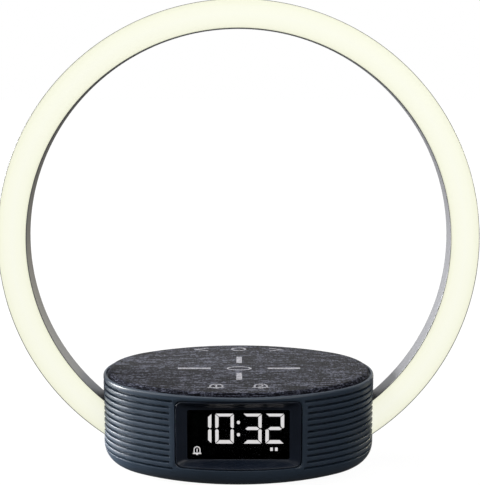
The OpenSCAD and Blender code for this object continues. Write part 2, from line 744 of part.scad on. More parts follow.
module ring_leds() color([0.95, 0.9, 0.6]) for (i = [0 : led_count - 1])
    let (turn = ring_gap + (i + 0.5) * (360 - 2 * ring_gap) / led_count)
        translate([0, 0, ring_z]) rotate([90, 0, 0]) rotate([0, 0, turn - 90])
            translate([ring_mid - led_size[0] / 2, -led_size[1] / 2, ring_wall - ring_half + strip_t])
                cube(led_size);

SOCKET_SCREWS = [for (y = [-1, 1]) [socket_in + 6, y * (ring_half + socket_wall + 4)]];

module ring_socket() difference() {
    intersection() {
        oval_slab(wall_t + 2, cover_top, cover_top + socket_h);
        union() {
            translate([socket_in, -ring_half - socket_wall, cover_top])
                cube([half_w, ring_depth + 2 * socket_wall, socket_h]);
            translate([socket_in, -ring_half - socket_wall - 7.5, cover_top])
                cube([11, ring_depth + 2 * socket_wall + 15, socket_flange]);
        }
        oval_slab(cover_in - 1, cover_top, cover_top + socket_h);
    }
    ring_arc(ring_gap, 70) ring_block(close_fit);
    // way out for the leads
    translate([socket_in - cut, ring_half - 4, lead_z - 1.5])
        cube([half_w - ring_inset - socket_in + cut + 1.5, 3, 4.5]);
    for (p = SOCKET_SCREWS) hole(p, screw_r + loose, cover_top - cut, cover_top + socket_h);
}

module ring_socket_right() color([0.2, 0.2, 0.22]) ring_socket();

module ring_socket_left() color([0.2, 0.2, 0.22]) mirror([1, 0, 0]) ring_socket();

module socket_screws() color("silver") for (s = [-1, 1], p = SOCKET_SCREWS)
    translate([s * p[0], p[1], cover_top + socket_flange]) rotate([180, 0, 0])
        screw(screw_r, head_r, head_h, socket_flange + 1.7);

lead_z = ring_end_z - 2;
module ring_leads() color([0.85, 0.85, 0.8]) translate([0, ring_half - 2.5, 0]) rotate([90, 0, 0]) {
    end = half_w - ring_inset;
    band([[end, ring_end_z], [end - 3.4, lead_z], [socket_in - 3, lead_z], [socket_in - 3, board_top + 1.5],
        [RING_PLUG[0] + 2, board_top + 1.5]], 1, 2);
}

outer_housing();
bottom_cover();
rubber_feet();
case_screws();
top_plate();
fabric_cover();
top_screws();
touch_board();
touch_electrodes();
touch_ribbon();
charging_coil();
coil_ferrite();
coil_leads();
charging_board();
charging_screws();
display_bezel();
display_window();
display_reflector();
segments_lit();
segments_unlit();
display_board();
display_screws();
display_ribbon();
main_board();
board_components();
board_screws();
power_socket();
power_pin();
speaker_frame();
speaker_magnet();
speaker_cone();
speaker_screws();
speaker_leads();
coin_cell();
cell_contact();
battery_door();
battery_door_screw();
ring_channel();
ring_diffuser();
led_strip();
ring_leds();
ring_socket_left();
ring_socket_right();
socket_screws();
ring_leads();
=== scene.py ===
"""Sunrise alarm clock: an oval drum with a display and a fabric charging pad, and a C-shaped light ring.

Sizes in the classes are in millimetres. X is right, Y is away from the display, Z is up from the table.
"""

import json
import logging
import math
from contextlib import contextmanager
from dataclasses import dataclass
from enum import Enum
from functools import partial
from typing import Any, Callable, Dict, Iterator, List, Optional, Sequence, Tuple

import bmesh
import bpy
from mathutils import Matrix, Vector

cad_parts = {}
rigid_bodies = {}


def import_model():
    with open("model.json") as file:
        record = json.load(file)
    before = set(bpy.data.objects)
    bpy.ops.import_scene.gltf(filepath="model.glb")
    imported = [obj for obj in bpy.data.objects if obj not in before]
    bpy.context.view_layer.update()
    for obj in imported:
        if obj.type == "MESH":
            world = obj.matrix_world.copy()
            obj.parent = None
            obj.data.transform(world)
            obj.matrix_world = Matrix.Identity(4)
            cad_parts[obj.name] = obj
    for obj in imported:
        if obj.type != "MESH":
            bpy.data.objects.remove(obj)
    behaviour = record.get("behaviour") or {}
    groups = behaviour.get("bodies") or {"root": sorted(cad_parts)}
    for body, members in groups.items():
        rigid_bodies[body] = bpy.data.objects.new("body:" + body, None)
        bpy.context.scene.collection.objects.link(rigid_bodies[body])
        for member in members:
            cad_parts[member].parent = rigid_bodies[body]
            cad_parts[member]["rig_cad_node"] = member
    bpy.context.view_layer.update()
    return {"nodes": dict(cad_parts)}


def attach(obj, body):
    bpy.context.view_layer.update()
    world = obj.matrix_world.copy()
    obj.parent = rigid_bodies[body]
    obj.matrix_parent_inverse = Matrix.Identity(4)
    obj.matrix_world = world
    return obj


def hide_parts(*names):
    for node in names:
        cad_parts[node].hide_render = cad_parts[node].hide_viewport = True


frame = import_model()

Piece = bpy.types.Object
Material = bpy.types.Material
Point = Tuple[float, float, float]
Pair = Tuple[float, float]
MM = 0.001
ROOT = "clock"
log = logging.getLogger("sunrise_alarm_clock")


class Part(Enum):
    """What is picked in edit mode, with its name in the mesh."""

    VERT = "verts"
    EDGE = "edges"
    FACE = "faces"


# ---------- finishes ----------


def linear(colour: str) -> Tuple[float, float, float, float]:
    """Turns an sRGB hex colour such as #8090a0 into linear red, green, blue and alpha."""
    parts = [int(colour[i : i + 2], 16) / 255 for i in (1, 3, 5)]
    return (*(p / 12.92 if p <= 0.04045 else ((p + 0.055) / 1.055) ** 2.4 for p in parts), 1.0)


def per(size: float) -> float:
    """Texture scale on object coordinates that gives features of a size in millimetres."""
    return 1 / (size * MM)


def wave(size: float) -> float:
    """Scale of a wave texture that gives one band in a size in millimetres."""
    return per(size) / 20 * math.pi


def add_node(
    owner: bpy.types.ID,
    kind: str,
    settings: Optional[Dict[Any, Any]] = None,
    feeds: Optional[bpy.types.NodeSocket] = None,
) -> bpy.types.Node:
    """Adds a node with its settings and links.

    Args:
        owner: The material or world.
        kind: Type name of the node, after ShaderNode.
        settings: By the name of an attribute, or the name or number of an input: its value, or the output
            or node (with its first output) that feeds it. A ramp's stops are (place, sRGB hex colour).
        feeds: Input that the new node's first output feeds.

    Returns:
        The new node.
    """
    tree = owner.node_tree
    node = tree.nodes.new("ShaderNode" + kind)
    for key, value in (settings or {}).items():
        if isinstance(value, bpy.types.Node):
            value = value.outputs[0]
        if key == "stops":
            stored = node.color_ramp.elements
            while len(stored) < len(value):
                stored.new(0.5)
            for element, (place, colour) in zip(stored, value):
                element.position = place
                element.color = linear(colour)
        elif isinstance(value, bpy.types.NodeSocket):
            tree.links.new(value, node.inputs[key])
        elif isinstance(key, str) and key in node.bl_rna.properties:
            setattr(node, key, value)
        else:
            node.inputs[key].default_value = value
    if feeds is not None:
        tree.links.new(node.outputs[0], feeds)
    return node


@dataclass(frozen=True)
class Finish:
    """Base of the finishes: a named material with one Principled shader and object coordinates."""

    name: str
    colour: str
    roughness: float = 0.5
    ior: float = 1.46
    specular: float = 0.5

    def start(self, **further: Any) -> Tuple[Material, Callable[..., Any], Any, Any]:
        """Starts the material.

        Args:
            further: Further uniform values of the shader, by input name with _ for a space.

        Returns:
            The material, add_node for it, its shader's inputs and the object coordinates.
        """
        material = bpy.data.materials.new(self.name)
        material.use_nodes = True
        surface = material.node_tree.nodes["Principled BSDF"].inputs
        plain = {"Base Color": linear(self.colour), "Roughness": self.roughness, "IOR": self.ior}
        for key, value in {**plain, "Specular IOR Level": self.specular, **further}.items():
            surface[key.replace("_", " ")].default_value = value
        add = partial(add_node, material)
        return material, add, surface, add("TexCoord").outputs["Object"]

    def material(self) -> Material:
        """Builds the material, which is plain here and patterned in each finish."""
        return self.start()[0]


@dataclass(frozen=True)
class Moulded(Finish):
    """Moulded plastic or rubber: the fine grain of an eroded tool, and slow drift in gloss and tone."""

    grain: float = 0.35
    bump: float = 0.15
    drift: str = ""
    patch: float = 18.0
    swing: float = 0.05

    def material(self) -> Material:
        """Builds the material.

        Returns:
            The material.
        """
        material, add, surface, place = self.start()
        cloud = add("TexNoise", {"Scale": per(self.patch), "Detail": 2.0, "Vector": place})
        ends = {"To Min": self.roughness - self.swing, "To Max": self.roughness + self.swing}
        gloss = {"Value": cloud, "From Min": 0.3, "From Max": 0.7, **ends}
        add("MapRange", gloss, surface["Roughness"])
        tones = [(0.35, self.colour), (0.75, self.drift or self.colour)]
        add("ValToRGB", {"Fac": cloud, "stops": tones}, surface["Base Color"])
        fine = {"Scale": per(self.grain), "Detail": 3.0, "Roughness": 0.6, "Vector": place}
        grain = add("TexNoise", fine)
        relief = {"Strength": self.bump, "Distance": 0.02 * MM, "Height": grain}
        add("Bump", relief, surface["Normal"])
        return material


@dataclass(frozen=True)
class Metal(Finish):
    """Metal with a blasted or plated grain that shows in its gloss, tone and relief."""

    grain: float = 0.3
    bump: float = 0.1
    drift: str = ""
    ior: float = 1.5
    swing: float = 0.07

    def material(self) -> Material:
        """Builds the material.

        Returns:
            The material.
        """
        material, add, surface, place = self.start(Metallic=1.0)
        fine = {"Scale": per(self.grain), "Detail": 4.0, "Roughness": 0.65, "Vector": place}
        grain = add("TexNoise", fine)
        ends = {"To Min": self.roughness - self.swing, "To Max": self.roughness + self.swing}
        gloss = {"Value": grain, "From Min": 0.25, "From Max": 0.75, **ends}
        add("MapRange", gloss, surface["Roughness"])
        tones = [(0.3, self.colour), (0.7, self.drift or self.colour)]
        add("ValToRGB", {"Fac": grain, "stops": tones}, surface["Base Color"])
        relief = {"Strength": self.bump, "Distance": 0.02 * MM, "Height": grain}
        add("Bump", relief, surface["Normal"])
        return material


@dataclass(frozen=True)
class Board(Finish):
    """Glass-epoxy circuit board: solder mask over copper tracks, which show as a lighter, raised pattern."""

    track: str = "#2c6b45"
    pitch: float = 1.6
    unit: float = 10.0

    def material(self) -> Material:
        """Builds the material.

        Returns:
            The material.
        """
        material, add, surface, place = self.start()
        mask = linear(self.colour)
        cells = {
            "Scale": per(self.unit), "Mortar Size": 0.02, "Brick Width": 6 * self.pitch / self.unit,
            "Row Height": self.pitch / self.unit, "Color1": mask, "Color2": mask,
            "Mortar": linear(self.track), "Vector": place,
        }
        tracks = add("TexBrick", cells, surface["Base Color"])
        relief = {"Strength": 0.3, "Distance": 0.04 * MM, "Height": tracks.outputs["Fac"]}
        add("Bump", relief, surface["Normal"])
        return material


@dataclass(frozen=True)
class Wound(Finish):
    """Enamelled copper wire wound in rings about an upright axis, with painted shade between the turns."""

    ior: float = 1.5
    shadow: str = "#5a2c14"
    pitch: float = 1.1
    centre: Point = (0.0, -1.0, 0.0)

    def material(self) -> Material:
        """Builds the material.

        Returns:
            The material.
        """
        material, add, surface, place = self.start(Metallic=1.0)
        shift = tuple(-c * MM for c in self.centre)
        centred = add("Mapping", {"Location": shift, "Vector": place})
        turns = {"wave_type": "RINGS", "rings_direction": "Z", "Scale": wave(self.pitch), "Vector": centred}
        rings = add("TexWave", turns).outputs["Fac"]
        # painted shade: the shadow colour darkens the lines between the turns
        tones = [(0.1, self.shadow), (0.6, self.colour)]
        add("ValToRGB", {"Fac": rings, "stops": tones}, surface["Base Color"])
        relief = {"Strength": 0.6, "Distance": 0.3 * MM, "Height": rings}
        add("Bump", relief, surface["Normal"])
        return material


@dataclass(frozen=True)
class Melange(Finish):
    """Plain-woven polyester in mixed light and dark yarns: short streaks along X over a thread relief.

    The threads, streaks and flecks are drawn about twice as coarse as real ones, so that they show.
    """

    thread: float = 0.55
    streak: Point = (8.0, 1.6, 0.5)
    fleck: Point = (1.1, 1.4, 0.5)
    shades: Tuple[str, ...] = ("#050508", "#101118", "#20212a", "#50525e")
    shares: Tuple[float, ...] = (0.42, 0.48, 0.52, 0.6)

    def material(self) -> Material:
        """Builds the material.

        Returns:
            The material.
        """
        material, add, surface, place = self.start(Sheen_Weight=0.038, Sheen_Roughness=0.5)
        yarns = {"operation": "ADD"}
        for number, size in enumerate((self.streak, self.fleck)):
            drawn = add("Mapping", {"Scale": tuple(1 / s for s in size), "Vector": place})
            patches = {"Scale": per(1.0), "Detail": 2.0, "Roughness": 0.7, "Vector": drawn}
            yarns[number] = add("TexNoise", patches)
        both = add("Math", yarns)
        mixed = add("Math", {"operation": "MULTIPLY", 0: both, 1: 0.5})
        tones = list(zip(self.shares, self.shades))
        add("ValToRGB", {"Fac": mixed, "stops": tones}, surface["Base Color"])
        weave = {"operation": "MULTIPLY"}
        for number, way in enumerate("XY"):
            bands = {"bands_direction": way, "Scale": wave(self.thread), "Distortion": 0.6, "Detail": 1.0}
            weave[number] = add("TexWave", {**bands, "Vector": place}).outputs["Fac"]
        height = add("Math", {"operation": "ADD", 0: add("Math", weave), 1: mixed})
        relief = {"Strength": 0.5, "Distance": 0.12 * MM, "Height": height}
        add("Bump", relief, surface["Normal"])
        return material


@dataclass(frozen=True)
class Opal(Finish):
    """Opal polycarbonate lit from behind: brightest along its middle, where the light sources lie."""

    centre_z: float = 0.0
    middle_r: float = 0.0
    reach: float = 6.4
    haze: float = 14.0
    uneven: float = 0.12
    shades: Tuple[str, ...] = ("#f7f8e8", "#f6f7e4", "#eff0d8")
    shares: Tuple[float, ...] = (0.0, 0.55, 1.0)
    strength: float = 1.0

    def material(self) -> Material:
        """Builds the material.

        Returns:
            The material.
        """
        material, add, surface, place = self.start(Emission_Strength=self.strength)
        centred = {"Location": (0.0, 0.0, -self.centre_z * MM), "Scale": (1.0, 0.0, 1.0), "Vector": place}
        flat = add("Mapping", centred)
        away = add("VectorMath", {"operation": "LENGTH", 0: flat}).outputs["Value"]
        off = {"operation": "SUBTRACT", 0: away, 1: self.middle_r * MM}
        side = add("Math", {"operation": "ABSOLUTE", 0: add("Math", off)})
        share = add("MapRange", {"Value": side, "From Max": self.reach * MM})
        haze = add("TexNoise", {"Scale": per(self.haze), "Detail": 1.0, "Vector": place})
        cloud = {"operation": "MULTIPLY_ADD", 0: haze, 1: self.uneven, 2: -self.uneven / 2}
        total = add("Math", {"operation": "ADD", 0: share, 1: add("Math", cloud)})
        tones = list(zip(self.shares, self.shades))
        add("ValToRGB", {"Fac": total, "stops": tones}, surface["Emission Color"])
        return material


@dataclass(frozen=True)
class Lit(Finish):
    """Diffusing resin with light behind it, faintly uneven."""

    glow: str = "#e6e6ea"
    core: str = "#f4f2ee"
    haze: float = 1.5
    strength: float = 1.0

    def material(self) -> Material:
        """Builds the material.

        Returns:
            The material.
        """
        material, add, surface, place = self.start(Emission_Strength=self.strength)
        haze = add("TexNoise", {"Scale": per(self.haze), "Detail": 1.0, "Vector": place})
        tones = [(0.3, self.glow), (0.8, self.core)]
        add("ValToRGB", {"Fac": haze, "stops": tones}, surface["Emission Color"])
        return material


@dataclass(frozen=True)
class Smoked(Finish):
    """Smoked acrylic: clear and polished, so dark that only what is lit behind it shows."""

    haze: float = 9.0
    swing: float = 0.4

    def material(self) -> Material:
        """Builds the material.

        Returns:
            The material.
        """
        material, add, surface, place = self.start(Transmission_Weight=1.0)
        haze = add("TexNoise", {"Scale": per(self.haze), "Detail": 2.0, "Vector": place})
        low, high = self.roughness * (1 - self.swing), self.roughness * (1 + self.swing)
        add("MapRange", {"Value": haze, "To Min": low, "To Max": high}, surface["Roughness"])
        return material


@dataclass(frozen=True)
class Ink(Finish):
    """Screen-printed ink on cloth: it sits on the yarns, and dark yarn shows between them."""

    ground: str = "#55555c"
    yarn: float = 0.5

    def material(self) -> Material:
        """Builds the material.

        Returns:
            The material.
        """
        material, add, surface, place = self.start()
        yarn = add("TexNoise", {"Scale": per(self.yarn), "Detail": 2.0, "Vector": place})
        tones = [(0.38, self.ground), (0.52, self.colour)]
        add("ValToRGB", {"Fac": yarn, "stops": tones}, surface["Base Color"])
        relief = {"Strength": 0.4, "Distance": 0.08 * MM, "Height": yarn}
        add("Bump", relief, surface["Normal"])
        return material


# ---------- modelling helpers ----------


def mm(point: Sequence[float]) -> Vector:
    """A point given in millimetres, in metres."""
    return Vector(point) * MM


def clear_selection() -> None:
    """Leaves object mode with nothing selected."""
    if bpy.context.object and bpy.context.object.mode != "OBJECT":
        bpy.ops.object.mode_set(mode="OBJECT")
    bpy.ops.object.select_all(action="DESELECT")


def activate(obj: Piece) -> None:
    """Selects one object and nothing else.

    Args:
        obj: The object.
    """
    clear_selection()
    obj.select_set(True)
    bpy.context.view_layer.objects.active = obj


def named(obj: Piece, name: str) -> Piece:
    """Names an object and its mesh, and gives it back."""
    obj.name = obj.data.name = name
    return obj


@contextmanager
def editing(obj: Piece, part: Part = Part.VERT) -> Iterator[None]:
    """Opens an object in edit mode with all of it selected, and closes it again.

    Args:
        obj: The mesh object.
        part: What is picked.
    """
    activate(obj)
    bpy.ops.object.mode_set(mode="EDIT")
    bpy.ops.mesh.select_mode(type=part.name)
    bpy.ops.mesh.select_all(action="SELECT")
    yield
    bpy.ops.object.mode_set(mode="OBJECT")


def pick(obj: Piece, part: Part, test: Callable[[Any], bool]) -> int:
    """Selects the parts of a mesh in edit mode that pass a test, and nothing else.

    Args:
        obj: The object in edit mode.
        part: What is picked.
        test: Says of one vertex, edge or face whether it is picked.

    Returns:
        How many were picked.
    """
    bpy.ops.mesh.select_all(action="DESELECT")
    mesh = bmesh.from_edit_mesh(obj.data)
    found = [item for item in getattr(mesh, part.value) if test(item)]
    for item in found:
        item.select_set(True)
    bmesh.update_edit_mesh(obj.data)
    return len(found)


def is_open(edge: bmesh.types.BMEdge) -> bool:
    """Whether an edge borders fewer than two faces."""
    return len(edge.link_faces) < 2


def draw_line(name: str, points: Sequence[Point], closed: bool = True) -> Piece:
    """Draws a line of edges: a plane merged to one vertex, extruded from point to point.

    Args:
        name: Name of the new object.
        points: Corners of the line, in millimetres.
        closed: Whether the last corner joins the first.

    Returns:
        The object, in object mode.
    """
    clear_selection()
    bpy.ops.mesh.primitive_plane_add(size=MM, location=mm(points[0]))
    obj = named(bpy.context.active_object, name)
    with editing(obj):
        bpy.ops.mesh.merge(type="CENTER")
        for before, after in zip(points, points[1:]):
            bpy.ops.mesh.extrude_region_move(TRANSFORM_OT_translate={"value": mm(after) - mm(before)})
        if closed:
            pick(obj, Part.VERT, lambda v: len(v.link_edges) < 2)
            bpy.ops.mesh.edge_face_add()
    return obj


def spin(centre: Point, axis: Point, degrees: float, steps: int) -> None:
    """Sweeps the selected line about an axis by the right-hand rule, and leaves its new end selected."""
    away = tuple(-a for a in axis)
    bpy.ops.mesh.spin(steps=steps, angle=math.radians(degrees), center=mm(centre), axis=away)


def close_up() -> None:
    """Merges doubles of the mesh in edit mode, up to 0.001 mm apart, and turns its faces outwards."""
    bpy.ops.mesh.select_all(action="SELECT")
    bpy.ops.mesh.remove_doubles(threshold=0.001 * MM)
    bpy.ops.mesh.normals_make_consistent(inside=False)


def loft(name: str, loops: Sequence[Sequence[Point]], ring: bool = False) -> Piece:
    """Joins closed loops of equal length, one extruded from the other and set in its place.

    Args:
        name: Name of the new object.
        loops: The loops, each a list of points in millimetres.
        ring: Whether the last loop joins the first, which leaves a hole through the middle. If not, both
            ends are filled.

    Returns:
        The object, with its faces turned outwards.
    """
    obj = draw_line(name, loops[0])
    origin = obj.location.copy()
    with editing(obj):
        if not ring:
            bpy.ops.mesh.edge_face_add()
            bpy.ops.mesh.select_all(action="SELECT")
        for previous, loop in zip(loops, loops[1:]):
            bpy.ops.mesh.extrude_region_move()
            mesh = bmesh.from_edit_mesh(obj.data)
            moved = [v for v in mesh.verts if v.select]
            for start, end in zip(previous, loop):
                place = mm(start) - origin
                corner = min(moved, key=lambda v: (v.co - place).length_squared)
                moved.remove(corner)
                corner.co = mm(end) - origin
            bmesh.update_edit_mesh(obj.data)
        if ring:
            pick(obj, Part.EDGE, is_open)
            bpy.ops.mesh.bridge_edge_loops()
        close_up()
    return obj


def apply_modifier(obj: Piece, kind: str, **settings: Any) -> None:
    """Adds a modifier with its settings and applies it at once.

    Args:
        obj: The object.
        kind: Type of the modifier.
        settings: Its settings by name.
    """
    activate(obj)
    modifier = obj.modifiers.new(kind.lower(), kind)
    for key, value in settings.items():
        setattr(modifier, key, value)
    bpy.ops.object.modifier_apply(modifier=modifier.name)


def join(name: str, pieces: Sequence[Piece]) -> Piece:
    """Joins several objects into the first and names it.

    Args:
        name: Its new name.
        pieces: The objects.

    Returns:
        The joined object.
    """
    clear_selection()
    for piece in pieces:
        piece.select_set(True)
    bpy.context.view_layer.objects.active = pieces[0]
    bpy.ops.object.join()
    return named(pieces[0], name)


def piece_box(obj: Piece) -> Tuple[Point, Point]:
    """Lowest and highest corner of a piece, in metres."""
    places = [obj.matrix_world @ v.co for v in obj.data.vertices]
    return tuple(tuple(end(p[i] for p in places) for i in range(3)) for end in (min, max))


def complete(obj: Piece, finish: Finish, replaced: Sequence[str] = (), angle: float = 35) -> Piece:
    """Gives a piece its shading, place, finish and body, and reports it.

    Args:
        obj: The modelled piece.
        finish: Its finish.
        replaced: CAD nodes that the piece stands for.
        angle: Angle in degrees above which an edge stays sharp.

    Returns:
        The same piece.
    """
    activate(obj)
    bpy.ops.object.transform_apply(location=True, rotation=True, scale=True)
    bpy.ops.object.shade_smooth_by_angle(angle=math.radians(angle))
    obj.data.materials.clear()
    obj.data.materials.append(finish.material())
    if replaced:
        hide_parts(*replaced)
    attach(obj, ROOT)
    low, high = (Vector(corner) / MM for corner in piece_box(obj))
    spans = ", ".join(f"{axis} {a:.1f} to {b:.1f}" for axis, a, b in zip("xyz", low, high))
    log.info("%s: %d faces, %s mm", obj.name, len(obj.data.polygons), spans)
    return obj


def dress(finish: Finish, *nodes: str) -> None:
    """Gives CAD nodes a finish in all of their material slots.

    Args:
        finish: The finish.
        nodes: Names of the nodes.
    """
    material = finish.material()
    for name in nodes:
        obj = frame["nodes"][name]
        if not obj.material_slots:
            obj.data.materials.append(material)
        for slot in obj.material_slots:
            slot.material = material
        log.info("%s: %s", name, material.name)


def between(start: Sequence[float], end: Sequence[float], share: float) -> Tuple[float, ...]:
    """The point that lies a share of the way from one point to another."""
    return tuple(a + (b - a) * share for a, b in zip(start, end))


def arc(centre: Pair, radii: Pair, start: float, end: float, steps: int) -> List[Pair]:
    """Points on an arc in a plane, angles in degrees.

    Args:
        centre: Middle of the arc.
        radii: Its two half widths.
        start: Angle of the first point.
        end: Angle of the last point.
        steps: Number of parts between them.

    Returns:
        The steps + 1 points.
    """
    angles = [math.radians(start + (end - start) * i / steps) for i in range(steps + 1)]
    return [(centre[0] + radii[0] * math.cos(a), centre[1] + radii[1] * math.sin(a)) for a in angles]


def rounded_outline(width: float, height: float, radius: float) -> List[Pair]:
    """Outline of a rounded rectangle about the origin, counterclockwise.

    Args:
        width: Full width.
        height: Full height.
        radius: Radius of the corners.

    Returns:
        The outline's points, without a repeated end.
    """
    steps, parts = 6, 12  # of each corner and of each straight side
    x, y = width / 2 - radius, height / 2 - radius
    corners = [((x, -y), -90), ((x, y), 0), ((-x, y), 90), ((-x, -y), 180)]
    turns = [arc(centre, (radius, radius), start, start + 90, steps) for centre, start in corners]
    points: List[Pair] = []
    for turn, following in zip(turns, turns[1:] + turns[:1]):
        points += turn
        points += [between(turn[-1], following[0], i / parts) for i in range(1, parts)]
    return points


# ---------- the drum's plan ----------


class Side(Enum):
    """A side of the clock, with the sign of its X."""

    RIGHT = 1
    LEFT = -1


@dataclass(frozen=True)
class Oval:
    """Plan of the drum: two end arcs and two long arcs that meet without a corner.

    What is swept round it has a column of the mesh at least every step degrees.
    """

    half_w: float = 65.0
    half_d: float = 47.0
    end_r: float = 39.0
    step: float = 2.8

    @property
    def end_x(self) -> float:
        """Distance of an end arc's centre from the middle."""
        return self.half_w - self.end_r

    @property
    def side_r(self) -> float:
        """Radius of a long arc."""
        return (self.end_x**2 + self.half_d**2 - self.end_r**2) / (2 * (self.half_d - self.end_r))

    @property
    def side_y(self) -> float:
        """Distance of a long arc's centre from the middle, away from the arc."""
        return self.side_r - self.half_d

    @property
    def meeting(self) -> float:
        """Angle in degrees from the middle of a long arc to its end."""
        return math.degrees(math.atan2(self.end_x, self.side_y))

    def front_y(self, x: float, inset: float) -> float:
        """Y of the front arc, drawn in by inset, at a place across it."""
        return self.side_y - math.sqrt((self.side_r - inset) ** 2 - x * x)

    def inset_at(self, x: float, y: float) -> float:
        """How far inside the outline a place lies.

        Args:
            x: The place from left to right.
            y: The place from front to back.

        Returns:
            Its distance from the outline.
        """
        across, away = abs(x), self.side_y + abs(y)
        if math.degrees(math.atan2(across, away)) < self.meeting:
            return self.side_r - math.hypot(across, away)
        return self.end_r - math.hypot(across - self.end_x, y)

    def turns(self, front: Sequence[float], rear: Sequence[float]) -> List[Tuple[Point, float, int]]:
        """Sweeps that carry a section once round, counterclockwise from the middle of the front.

        Args:
            front: Places across the front where a column of the mesh must lie.
            rear: The same across the back.

        Returns:
            Centre, angle in degrees and number of steps of each sweep.
        """

        def parts(places: Sequence[float]) -> List[float]:
            """Angles between the places, from the middle to the arc's end."""
            stops = [0.0, *(math.degrees(math.asin(x / self.side_r)) for x in places), self.meeting]
            return [b - a for a, b in zip(stops, stops[1:])]

        right = [((0.0, self.side_y, 0.0), angle) for angle in parts(front)]
        right += [((self.end_x, 0.0, 0.0), 180 - 2 * self.meeting)]
        right += [((0.0, -self.side_y, 0.0), angle) for angle in reversed(parts(rear))]
        left = [((-x, y, z), angle) for (x, y, z), angle in reversed(right)]
        return [(centre, angle, math.ceil(angle / self.step)) for centre, angle in right + left]


OVAL = Oval()


def sweep_oval(
    name: str, section: Sequence[Pair], closed: bool, front: Sequence[float] = (), rear: Sequence[float] = ()
) -> Piece:
    """Spins a section once round the drum's plan.

    Args:
        name: Name of the new object.
        section: (distance in from the outline, height) of the section's corners.
        closed: Whether the section is a closed one.
        front: Places across the front where a column must lie.
        rear: The same across the back.

    Returns:
        The swept object, welded and faced outwards.
    """
    obj = draw_line(name, [(0.0, inset - OVAL.half_d, z) for inset, z in section], closed)
    with editing(obj):
        for centre, degrees, steps in OVAL.turns(front, rear):
            spin(centre, (0, 0, 1), degrees, steps)
        close_up()
    return obj


# ---------- drum ----------


